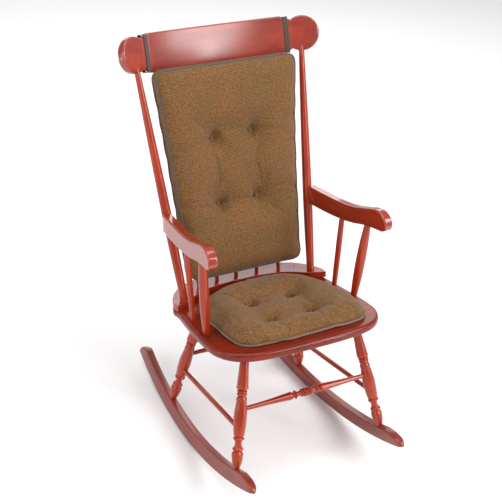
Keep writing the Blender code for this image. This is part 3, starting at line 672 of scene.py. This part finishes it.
# ---- Back --------------------------------------------------------------------------------------
POST_FOOT = Vector((0.2087, 0.1343, DECK_TOP))
POST_HEAD = Vector((0.259, 0.2893, 1.058))
BACK_LEAN = math.atan2(POST_HEAD.y - POST_FOOT.y, POST_HEAD.z - POST_FOOT.z)
LEAN_UP = Vector((0.0, math.sin(BACK_LEAN), math.cos(BACK_LEAN)))
LEAN_OUT = Vector((0.0, math.cos(BACK_LEAN), -math.sin(BACK_LEAN)))
CREST_MID = Vector((0.0, 0.3604, 1.0927))
CREST_R = 0.62
CREST_HEIGHT = 0.109
CREST_THICK = 0.021
CREST_BOARD_HALF = 0.213
CREST_COVE_U = 0.229
CREST_COVE_HEIGHT = 0.092
CREST_RIM = 0.016
CREST_EDGE = 0.0045
EAR_U = 0.2745
EAR_R = 0.0505
IN_DECK = 0.016
IN_CREST = 0.016
# Sticks from the head down: the radius there, then the share of the length, end radius, bulge and
# number of facets of each stretch.
POST_TURNING = (0.008, (0.66, 0.014, 0.0008, 5), (0.34, 0.011, 0.0006, 4))
SPINDLE_TURNING = (0.0052, (0.6, 0.0068, 0.0003, 3), (0.4, 0.0056, 0.0003, 3))
SPINDLE_ROW_R = 0.46  # the spindles' feet stand on this arc round (0, -SPINDLE_ROW_BACK)
SPINDLE_ROW_BACK = 0.248
SPINDLE_FOOT_GAP = 0.066
SPINDLE_HEAD_GAP = 0.078


def on_crest(u, v, depth=0.0):
    radius = CREST_R + depth
    angle = u / CREST_R
    back = CREST_R * (math.cos(angle) - 1.0) + depth * math.cos(angle)
    return CREST_MID + ACROSS * (radius * math.sin(angle)) + LEAN_OUT * back + LEAN_UP * v


def crest_half_height(u):
    distance = abs(u)
    if distance <= CREST_BOARD_HALF:
        return CREST_HEIGHT / 2
    if distance >= CREST_COVE_U + CREST_RIM:
        return math.sqrt(max(EAR_R ** 2 - (distance - EAR_U) ** 2, 0.0))
    cove = CREST_COVE_HEIGHT / 2
    if distance <= CREST_COVE_U:
        t = (distance - CREST_BOARD_HALF) / (CREST_COVE_U - CREST_BOARD_HALF)
        return CREST_HEIGHT / 2 + (cove - CREST_HEIGHT / 2) * t * t * (3 - 2 * t)
    t = (distance - CREST_COVE_U) / CREST_RIM
    rim = math.sqrt(EAR_R ** 2 - (CREST_COVE_U + CREST_RIM - EAR_U) ** 2)
    return cove + (rim - cove) * t * t


def crest_section(u, thick):
    """Rounded rectangle of the rail at u, with its long edges eased."""
    half = crest_half_height(u)
    section = ring_outline(thick / 2, half, min(CREST_EDGE, half * 0.6), 5)
    return [on_crest(u, v, depth) for depth, v in section]


def build_crest():
    board_part = [CREST_BOARD_HALF * i / 24 for i in range(25)]
    cove_end = CREST_COVE_U + CREST_RIM
    cove_part = [CREST_BOARD_HALF + (cove_end - CREST_BOARD_HALF) * i / 16 for i in range(1, 16)]
    start = math.acos((EAR_U - cove_end) / EAR_R)
    ear_part = [EAR_U - EAR_R * math.cos(start + (math.pi - start) * i / 30) for i in range(30)]
    right = board_part + cove_part + ear_part + [EAR_U + EAR_R * 0.9985]
    rings = []
    for u in [-u for u in reversed(right[1:])] + right:
        near_end = max(0.0, 1.0 - (EAR_U + EAR_R - abs(u)) / CREST_EDGE)
        eased = 2 * CREST_EDGE * (1 - math.sqrt(max(0.0, 1 - near_end ** 2)))
        rings.append(crest_section(u, CREST_THICK - eased))
    mesh = loft_mesh("crest_rail", rings, sharp=50.0)
    add_piece("crest_rail_fine", mesh, WOOD["crest"], Matrix.Identity(4), ("crest_rail",))


def build_stick(name, foot, head, turning, in_foot, in_head):
    """A turned stick between two boards, from its head down."""
    length = (head - foot).length
    way = (head - foot).normalized()
    radius, *stretches = turning
    sections = [(length * share, *shape) for share, *shape in stretches]
    profile = profile_of(radius, [(in_head, radius, 0.0, 1), *sections,
                                  (in_foot, stretches[-1][1], 0.0, 1)])
    turned(name, profile, head + way * in_head, foot)


def build_back():
    build_crest()
    for side, place in sides():
        build_stick("back_post_" + side, place(POST_FOOT), place(POST_HEAD), POST_TURNING, IN_DECK,
                    IN_CREST)
    for number in range(1, 6):
        x = (number - 3) * SPINDLE_FOOT_GAP
        foot = Vector((x, math.sqrt(SPINDLE_ROW_R ** 2 - x ** 2) - SPINDLE_ROW_BACK, DECK_TOP))
        u = CREST_R * math.asin((number - 3) * SPINDLE_HEAD_GAP / CREST_R)
        head = on_crest(u, -crest_half_height(u))
        build_stick(f"back_spindle_{number}", foot, head, SPINDLE_TURNING, IN_DECK, IN_CREST)


# ---- Arms --------------------------------------------------------------------------------------
ARM_WIDTH = 0.0265
ARM_FRONT = Vector((0.2693, -0.169, 0.0))
ARM_REAR = Vector((0.2333, 0.186, 0.0))
ARM_TOP = [(0.352, 0.683), (0.29, 0.6815), (0.215, 0.6805), (0.15, 0.685), (0.095, 0.697),
           (0.05, 0.7075), (0.022, 0.704), (0.004, 0.69), (-0.002, 0.672), (0.004, 0.658),
           (0.018, 0.6515)]
ARM_BOTTOM = [(0.018, 0.6515), (0.08, 0.648), (0.15, 0.635), (0.215, 0.629), (0.29, 0.6285),
              (0.352, 0.631)]
ARM_POST = (Vector((0.2362, -0.057, SEAT_TOP)), Vector((0.2577, -0.0835, 0.6475)))
ARM_SPINDLE = (Vector((0.23, 0.036, SEAT_TOP)), Vector((0.2475, 0.031, 0.633)))
ARM_POST_TURNING = (0.0092, (0.45, 0.0138, 0.001, 4), (0.55, 0.0086, 0.0016, 5))
ARM_SPINDLE_TURNING = (0.0076, (0.5, 0.0086, 0.0004, 3), (0.5, 0.0072, 0.0004, 3))
ARM_EDGE = 0.005
IN_ARM = 0.014
IN_SEAT = 0.014


def build_arms():
    outline = smooth_line(ARM_TOP, 8) + smooth_line(ARM_BOTTOM, 8)[1:]
    for side, place in sides():
        front, rear = place(ARM_FRONT), place(ARM_REAR)
        where = frame_of(front, rear - front, UP)
        board("arm_" + side, outline, ARM_WIDTH, where, WOOD["arm"], ARM_EDGE, 6)
        for kind, (foot, head), turning in (("post", ARM_POST, ARM_POST_TURNING),
                                            ("spindle", ARM_SPINDLE, ARM_SPINDLE_TURNING)):
            build_stick(f"arm_{kind}_{side}", place(foot), place(head), turning, IN_SEAT, IN_ARM)


# ---- Screws ------------------------------------------------------------------------------------
RECESS_ARM = 0.0023
RECESS_HALF = 0.00045
RECESS_DEEP = 0.0009
LEG_R_AT_STRETCHER = 0.0145
POST_R_AT_ARM = 0.0145
ARM_SCREW_Z = 0.657
DECK_SCREW = Vector((0.181, 0.184, DECK_TOP))
# Radius and height of the head's rings, from its middle outwards, and of the shank's.
SCREW_PROFILE = [(0.0003, 0.0004), (0.0007, 0.0004), (0.0012, 0.0004), (0.0017, 0.00038),
                 (0.0022, 0.00035), (0.0027, 0.0003), (0.0034, 0.0002), (0.0038, 0.00008),
                 (0.004, -0.0003), (0.0018, -0.0025), (0.0018, -0.012)]


def build_screw(name, surface_point, way):
    """A slightly domed head with a cross recess, seated in the surface, and the shank behind it."""
    rings = [circle(radius, height, 48) for radius, height in SCREW_PROFILE]
    for point in (point for ring in rings for point in ring):
        near, far = sorted((abs(point.x), abs(point.y)))
        if point.z > 0 and near < RECESS_HALF and far < RECESS_ARM:
            point.z -= RECESS_DEEP
    mesh = loft_mesh(name, rings, sharp=30.0)
    turn = (-way).to_track_quat("Z", "Y").to_matrix().to_4x4()
    place = Matrix.Translation(surface_point) @ turn
    add_piece(name + "_fine", mesh, STEEL, place, (name,))


def build_screws():
    for side, place in sides():
        build_screw("screw_deck_" + side, place(DECK_SCREW), -UP)
        forward = (place(ARM_FRONT) - place(ARM_REAR)).normalized()
        on_post = place(at_height(POST_HEAD, POST_FOOT, ARM_SCREW_Z))
        build_screw("screw_arm_" + side, on_post - forward * POST_R_AT_ARM, forward)
        for end, (top, foot) in LEGS.items():
            way = (place(top) - place(foot)).normalized()
            build_screw(f"screw_rocker_{end}_{side}", place(foot) - way * ROCKER_HEIGHT, way)
    for end, leg in LEGS.items():
        for side, place in sides():
            out = place(ACROSS)
            outer = place(at_height(*leg, CROSS_STRETCHER_Z)) + out * LEG_R_AT_STRETCHER
            build_screw(f"screw_{end}_stretcher_{side}", outer, -out)


# ---- Ties --------------------------------------------------------------------------------------
PAD_CLEAR = 0.001
TIE_WIDTH = 0.0125
TIE_THICK = 0.0021
# The tape's cross-section: share of its thickness, and place across its width.
TIE_SECTION = [(0.0, -0.5), (0.12, -0.5), (0.62, -0.5), (0.95, -0.46), (1.0, -0.36), (0.82, -0.28),
               (0.78, 0.0), (0.82, 0.28), (1.0, 0.36), (0.95, 0.46), (0.62, 0.5), (0.12, 0.5),
               (0.0, 0.5), (0.0, 0.0)]


def build_tie(side, place):
    """A woven tape round the rail: a flat strip with folded edges, a little uneven in its lie."""
    u = place(ACROSS).x * CREST_COVE_U
    angle = u / CREST_R
    outward = LEAN_OUT * math.cos(angle) + ACROSS * math.sin(angle)
    half_depth = CREST_THICK / 2 + PAD_CLEAR
    half_height = crest_half_height(CREST_COVE_U - TIE_WIDTH / 2) + PAD_CLEAR
    inner = ring_outline(half_depth, half_height, 0.0042, 8)
    outer = ring_outline(half_depth + TIE_THICK, half_height + TIE_THICK, 0.0063, 8)
    rings = []
    for i, (low, high) in enumerate(zip(inner, outer)):
        low, high = Vector((*low, 0.0)), Vector((*high, 0.0))
        sway = 0.0009 * math.sin(4 * math.pi * i / len(inner) + u * 40)
        rings.append([low.lerp(high, depth) + UP * (across * TIE_WIDTH + sway)
                      for depth, across in TIE_SECTION])
    mesh = loft_mesh("tie_" + side, rings, sharp=70.0, closed=True)
    place_at = frame_of(on_crest(u, 0.0), outward, LEAN_UP)
    add_piece(f"tie_{side}_fine", mesh, TAPE, place_at, ("tie_" + side,))


# ---- Cushions ----------------------------------------------------------------------------------
BACK_PAD_LEAN = math.radians(11.3)
BACK_PAD_HINGE = Vector((0.0, 0.2985, 1.072))
BACK_PAD_LENGTH = 0.626
BACK_PAD_TOP_HALF = 0.229
BACK_PAD_FOOT_HALF = 0.191
BACK_PAD_CORNER = 0.03
PAD_SHIFT = 0.009  # how far the seat cushion's front lies to the right
VOXEL = 0.005
SIM_FRAMES = 20
PRESSURE = 4.0
INSET = 0.004
OUTLINE_STEP = 0.006
SEAM_STEP = 0.0035
SEAM_DIP = 0.0016
SEAM_REACH = 0.009
WELT_R = 0.0031
BUTTON_R = 0.0075

SEAT_TUFTS = [(-0.063, 0.0055), (0.063, 0.0055), (-0.063, -0.107), (0.063, -0.107)]
BACK_TUFTS = [(-0.062, -0.22), (0.062, -0.215), (-0.062, -0.408), (0.062, -0.402)]


SEAT_PAD = [(0.0, -0.205), (0.1, -0.2035), (0.17, -0.195), (0.207, -0.17),
            (0.22, -0.12), (0.217, -0.04), (0.198, 0.05), (0.16, 0.112),
            (0.092, 0.15), (0.0, 0.162)]
# What the arm posts and the back cushion's foot leave the seat cushion: half width, then height,
# each at places from the front to the rear.
SEAT_ROOM = ([-0.22, -0.11, -0.085, -0.03, 0.02, 0.06],
             [0.24, 0.236, 0.2235, 0.2235, 0.22, 0.22])
SEAT_CEILING = ([-0.22, -0.05, 0.09, 0.135, 0.17], [0.062, 0.06, 0.048, 0.0405, 0.0395])


def seat_pad_outline():
    outline = both_halves(smooth_line(SEAT_PAD, 6))
    return [(x + (PAD_SHIFT if y < 0 else 0.0) * min(1.0, -y / 0.05), y) for x, y in outline]


def back_pad_outline():
    r = BACK_PAD_CORNER
    top, foot, length = BACK_PAD_TOP_HALF, BACK_PAD_FOOT_HALF, BACK_PAD_LENGTH
    taper = math.atan((top - foot) / length)
    corners = arc((top - r, -r), r, taper, math.pi / 2, 8)
    corners += arc((r - top, -r), r, math.pi / 2, math.pi - taper, 8)
    corners += arc((r - foot, r - length), r, math.pi - taper, 1.5 * math.pi, 8)
    corners += arc((foot - r, r - length), r, 1.5 * math.pi, 2 * math.pi + taper, 8)
    return corners


def resampled(points, step):
    """The closed line through the points, with points about one step apart."""
    ring = [Vector((*point, 0.0)) if len(point) == 2 else Vector(point) for point in points]
    ring.append(ring[0])
    lengths = [(b - a).length for a, b in zip(ring, ring[1:])]
    total = sum(lengths)
    count = max(8, round(total / step))
    line = []
    piece = 0
    travelled = 0.0
    for i in range(count):
        target = total * i / count
        while travelled + lengths[piece] < target:
            travelled += lengths[piece]
            piece += 1
        line.append(ring[piece].lerp(ring[piece + 1], (target - travelled) / lengths[piece]))
    return line


def drawn_in(points, distance):
    """The closed line moved inwards (it runs either way round) by the distance."""
    count = len(points)
    area = sum(points[i].cross(points[(i + 1) % count]).z for i in range(count))
    sign = 1.0 if area > 0 else -1.0
    moved = []
    for i, point in enumerate(points):
        along = (points[(i + 1) % count] - points[i - 1]).normalized()
        moved.append(point + UP.cross(along) * distance * sign)
    return moved


class Cushion:
    """A boxed cushion in its own frame: X and Y in its plane, Z = 0 where it rests."""

    def __init__(self, name, outline, tufts, thick, tuft_radius, tuft_pull, crown, rim):
        self.name = name
        self.tufts = tufts
        self.thick = thick
        self.tuft_radius = tuft_radius
        self.tuft_pull = tuft_pull
        self.crown = crown  # how far in from the edge the cushion gets its full height
        self.rim = rim  # share of the height that is left at the edge
        self.outline = drawn_in(resampled(outline, OUTLINE_STEP), INSET)
        prism = prism_mesh(name, [(point.x, point.y) for point in self.outline], thick)
        prism.transform(Matrix.Translation((0.0, 0.0, thick / 2)))
        self.piece = new_object(name + "_sewn", prism)
        remesh = self.piece.modifiers.new("voxels", "REMESH")
        remesh.mode = "VOXEL"
        remesh.voxel_size = VOXEL
        self.before = coordinates(self.take_applied())
        self.cloth = self.before.copy()
        self.sink_tufts()

    def take_applied(self):
        """Makes the shape with its modifiers the piece's own mesh, and returns it."""
        mesh = applied(self.piece)
        self.piece.modifiers.clear()
        self.piece.data = mesh
        return mesh

    def sink_tufts(self):
        """Draws the top down at the tufts, and pins what is at their centres."""
        points = self.before
        pinned = np.zeros(len(points), dtype=bool)
        for x, y in self.tufts:
            distance = np.hypot(points[:, 0] - x, points[:, 1] - y)
            high = points[:, 2] > self.thick * 0.6
            dip = self.tuft_pull * np.exp(-((distance / self.tuft_radius) ** 2))
            points[:, 2] -= np.where(high, dip, 0.0)
            pinned |= distance < BUTTON_R
        give(self.piece.data, points)
        group = self.piece.vertex_groups.new(name="pinned")
        group.add([int(i) for i in np.nonzero(pinned)[0]], 1.0, "REPLACE")

    def add_cloth(self):
        cloth = self.piece.modifiers.new("cloth", "CLOTH")
        cloth.settings.quality = 5
        cloth.settings.use_pressure = True
        cloth.settings.uniform_pressure_force = PRESSURE
        cloth.settings.effector_weights.gravity = 0.0
        cloth.settings.vertex_group_mass = "pinned"
        cloth.point_cache.frame_start = 1
        cloth.point_cache.frame_end = SIM_FRAMES

    def settle(self, swell, spread, limit):
        """Takes over the simulated shape, with its swelling held to what the chair leaves."""
        mesh = self.take_applied()
        self.piece.vertex_groups.clear()
        moved = coordinates(mesh) - self.before
        flat = np.hypot(moved[:, 0], moved[:, 1])
        moved[:, :2] *= np.minimum(1.0, spread / np.maximum(flat, 1e-9))[:, None]
        moved[:, 2] = swell * np.tanh(moved[:, 2] / swell)
        self.after = limit(self.crowned(self.before + moved))
        give(mesh, self.after)
        note_drawing(mesh, self.cloth)

    def crowned(self, points):
        """Thins the cushion towards its edge, where top and bottom meet in the welt."""
        edge = tree_of(self.outline)
        inside = np.array([edge.find((x, y, 0.0))[2] for x, y, _ in self.before])
        share = np.clip(inside / self.crown, 0.0, 1.0)
        points[:, 2] *= self.rim + (1.0 - self.rim) * np.sqrt(1.0 - (1.0 - share) ** 2)
        return points

    def seam(self, height):
        """The seam line at the height of the unswollen cushion, where it has gone since."""
        tree = tree_of(self.before)
        line = []
        for point in self.outline:
            index = tree.find((point.x, point.y, height))[1]
            if not line or index != line[-1]:
                line.append(index)
        points = [Vector(self.after[i]) for i in line]
        for _ in range(6):
            points = [(points[i - 1] + points[i] * 2 + points[(i + 1) % len(points)]) / 4
                      for i in range(len(points))]
        return resampled(points, SEAM_STEP)

    def refine(self, creases, seams, limit):
        """Subdivides, then presses in the creases and the valley along each seam."""
        division = self.piece.modifiers.new("division", "SUBSURF")
        division.levels = 1
        division.render_levels = 1
        mesh = self.take_applied()
        points = coordinates(mesh)
        normals = np.empty(len(points) * 3)
        mesh.vertices.foreach_get("normal", normals)
        normals = normals.reshape(-1, 3)
        dip = crease_depth(points, creases) * np.clip(normals[:, 2] * 1.6, 0.0, 1.0)
        tree = tree_of([point for seam in seams for point in seam])
        valley = np.array([tree.find(point)[2] for point in points])
        dip += SEAM_DIP * np.clip(1 - valley / SEAM_REACH, 0.0, 1.0) ** 1.5
        ripple = np.array([noise.noise(Vector(point) * 22.0) for point in points])
        fine = np.array([noise.noise(Vector(point) * 75.0 + ACROSS) for point in points])
        dip += 0.0011 * ripple + 0.00035 * fine
        give(mesh, limit(points - normals * dip[:, None]))
        mesh.shade_smooth()


def crease_depth(points, creases):
    """How deep the creases are at the points: each fades along its slightly bent course."""
    dip = np.zeros(len(points))
    for x, y, angle, length, deep, width in creases:
        ux, uy = math.cos(angle), math.sin(angle)
        along = (points[:, 0] - x) * ux + (points[:, 1] - y) * uy
        bend = 0.05 * length * np.sin(along / length * 2.4 + angle * 3)
        aside = (points[:, 1] - y) * ux - (points[:, 0] - x) * uy - bend * (along / length)
        inside = (along > 0) & (along < length)
        fade = np.where(inside, (1 - along / length) * np.minimum(1.0, along / 0.004), 0.0)
        spread = width + 0.1 * np.maximum(along, 0.0)
        dip += deep * fade * np.exp(-((aside / spread) ** 2))
    return dip


def welt(name, line, material, place, body):
    """A sewn-in cord along a closed line."""
    rings = []
    for i, point in enumerate(line):
        along = (line[(i + 1) % len(line)] - line[i - 1]).normalized()
        side = along.cross(UP).normalized()
        over = side.cross(along)
        girth = WELT_R * (1.0 + 0.05 * math.sin(i * 1.9))
        rings.append([point + side * dot.x + over * dot.y for dot in circle(girth, 0.0, 10)])
    mesh = loft_mesh(name, rings, sharp=80.0, closed=True)
    add_piece(name, mesh, material, place, (), body)


# Share of the radius, and height, of a button's rings from its middle to its underside.
BUTTON_PROFILE = [(0.02, 0.003), (0.35, 0.0028), (0.65, 0.0021), (0.88, 0.001), (1.0, -0.0006),
                  (0.97, -0.0022), (0.8, -0.0034), (0.3, -0.0038)]


def button(name, place, body):
    """A cloth-covered button: a low dome, pulled down into its tuft."""
    rings = [circle(BUTTON_R * share, height, 28) for share, height in BUTTON_PROFILE]
    add_piece(name, loft_mesh(name, rings, sharp=80.0), TWEED, place, (), body)


def star(x, y, seed, length, deep, width, rays):
    """Creases that leave a tuft in all directions, uneven in angle and length."""
    creases = []
    for k in range(rays):
        jitter = noise.noise(Vector((seed, k * 1.7, 0.3)))
        reach = length * (0.75 + 0.5 * abs(noise.noise(Vector((k * 2.1, seed, 4.1)))))
        angle = 2 * math.pi * (k + 0.45 * jitter) / rays + seed
        creases.append((x, y, angle, reach, deep * (0.7 + 0.6 * (k % 2)), width))
    return creases


def build_cushions():
    seat_place = Matrix.Translation((0.0, 0.0, SEAT_TOP + PAD_CLEAR))
    up = Vector((0.0, math.sin(BACK_PAD_LEAN), math.cos(BACK_PAD_LEAN)))
    back_place = frame_of(BACK_PAD_HINGE, ACROSS, up)
    seat = Cushion("seat_cushion", seat_pad_outline(), SEAT_TUFTS, thick=0.031, tuft_radius=0.018,
                   tuft_pull=0.024, crown=0.05, rim=0.4)
    back = Cushion("back_cushion", back_pad_outline(), BACK_TUFTS, thick=0.04, tuft_radius=0.024,
                   tuft_pull=0.027, crown=0.03, rim=0.9)
    seat.add_cloth()
    back.add_cloth()
    for frame_number in range(1, SIM_FRAMES + 1):
        bpy.context.scene.frame_set(frame_number)

    def seat_limit(points):
        """Flat on the seat, low at the rear, where the back cushion's foot stands over it, and
        clear of the arm posts."""
        room = np.interp(points[:, 1], *SEAT_ROOM)
        points[:, 0] = np.clip(points[:, 0], -room, room)
        points[:, 2] = np.clip(points[:, 2], 0.0, np.interp(points[:, 1], *SEAT_CEILING))
        return points

    def back_limit(points):
        """Flat against the spindles, and not lower than its foot."""
        points[:, 2] = np.maximum(points[:, 2], 0.0005)
        points[:, 1] = np.maximum(points[:, 1], -BACK_PAD_LENGTH - 0.001)
        return points

    seat.settle(swell=0.022, spread=0.0085, limit=seat_limit)
    back.settle(swell=0.022, spread=0.011, limit=back_limit)
    seat_creases = []
    for number, (x, y) in enumerate(SEAT_TUFTS):
        seat_creases += star(x, y, number * 1.31 + 0.2, length=0.052, deep=0.0052, width=0.003,
                             rays=8)
    back_creases = []
    for number, (x, y) in enumerate(BACK_TUFTS):
        back_creases += star(x, y, number * 1.77 + 0.6, length=0.036, deep=0.002, width=0.003,
                             rays=7)
    # One more crease runs between the two lower buttons of the back.
    x, y = BACK_TUFTS[2]
    back_creases.append((x, y, 0.03, 0.13, 0.006, 0.0022))
    back_creases.append((-x, y, math.pi - 0.03, 0.13, 0.006, 0.0022))
    for cushion, place, body, seam_shares, creases, limit, cover in (
        (seat, seat_place, "seat_pad", (0.3,), seat_creases, seat_limit, WELT_GREY),
        (back, back_place, "back_pad", (0.08, 0.92), back_creases, back_limit, WELT_BROWN),
    ):
        seams = [cushion.seam(cushion.thick * share) for share in seam_shares]
        cushion.refine(creases, seams, limit)
        piece = cushion.piece
        piece.data.materials.clear()
        piece.data.materials.append(TWEED)
        surface = tree_of([v.co.copy() for v in piece.data.vertices if v.normal.z > 0.2])
        heights = [surface.find((x, y, cushion.thick - cushion.tuft_pull))[0].z
                   for x, y in cushion.tufts]
        put_in_place(piece.data, place)
        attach(piece, body)
        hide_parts(cushion.name)
        for number, seam in enumerate(seams, 1):
            welt(f"{cushion.name}_welt_{number}", seam, cover, place, body)
        for number, ((x, y), height) in enumerate(zip(cushion.tufts, heights), 1):
            in_tuft = place @ Matrix.Translation((x, y, height + 0.0006))
            button(f"{cushion.name}_button_{number}", in_tuft, body)


# ---- Studio ------------------------------------------------------------------------------------
CAMERA_AT = Vector((-1.60421, -2.7958, 1.98567))
LOOK_AT = Vector((0.0, 0.1218, 0.5441))
FOCAL_PX = 1269.45
FRAME_PX = 502
SENSOR_MM = 36.0


FLOOR_SIZE = 40.0
WORLD_STRENGTH = 0.55
# Name, place, target, width and height in metres, and power in watts.
LAMPS = (
    ("key", (1.9, -2.4, 2.9), (0.0, 0.0, 0.6), 2.6, 2.0, 105.0),
    ("side", (-3.0, -1.0, 1.8), (0.0, 0.0, 0.7), 1.6, 2.0, 24.0),
    ("behind", (1.4, 3.0, 1.9), (0.0, 0.2, 0.6), 3.4, 1.2, 26.0),
    ("above", (-0.4, 0.2, 3.6), (0.0, 0.0, 0.5), 2.4, 2.4, 55.0),
    ("strip_right", (1.7, -2.6, 1.2), (0.0, 0.0, 0.6), 0.22, 2.2, 22.0),
    ("strip_left", (-3.0, 0.4, 1.2), (0.0, 0.0, 0.6), 0.22, 2.2, 16.0),
)


def build_studio():
    scene = bpy.context.scene
    scene.view_settings.view_transform = "Standard"
    scene.world = bpy.data.worlds.new("studio")
    scene.world.use_nodes = True
    background = scene.world.node_tree.nodes["Background"]
    background.inputs["Color"].default_value = (1.0, 1.0, 1.0, 1.0)
    background.inputs["Strength"].default_value = WORLD_STRENGTH
    bpy.ops.mesh.primitive_plane_add(size=FLOOR_SIZE)
    floor = bpy.context.object
    floor.name = "studio_floor"
    floor.data.materials.append(floor_material())
    for name, place, target, width, height, power in LAMPS:
        light = bpy.data.lights.new(name, "AREA")
        light.shape = "RECTANGLE"
        light.size = width
        light.size_y = height
        light.energy = power
        lamp = new_object(name, light)
        lamp.location = place
        lamp.rotation_euler = (Vector(target) - Vector(place)).to_track_quat("-Z", "Y").to_euler()
        lamp.visible_camera = False


def build_camera():
    data = bpy.data.cameras.new("photo_view")
    data.sensor_width = SENSOR_MM
    data.lens = FOCAL_PX * SENSOR_MM / FRAME_PX
    camera = new_object("photo_view", data)
    back = (CAMERA_AT - LOOK_AT).normalized()
    right = UP.cross(back).normalized()
    rows = Matrix((right, back.cross(right), back)).transposed().to_4x4()
    camera.matrix_world = CHAIR @ Matrix.Translation(CAMERA_AT) @ rows
    bpy.context.scene.camera = camera


build_seat()
build_underframe()
build_back()
build_arms()
build_screws()
for tie_side, tie_place in sides():
    build_tie(tie_side, tie_place)
build_cushions()
build_studio()
build_camera()
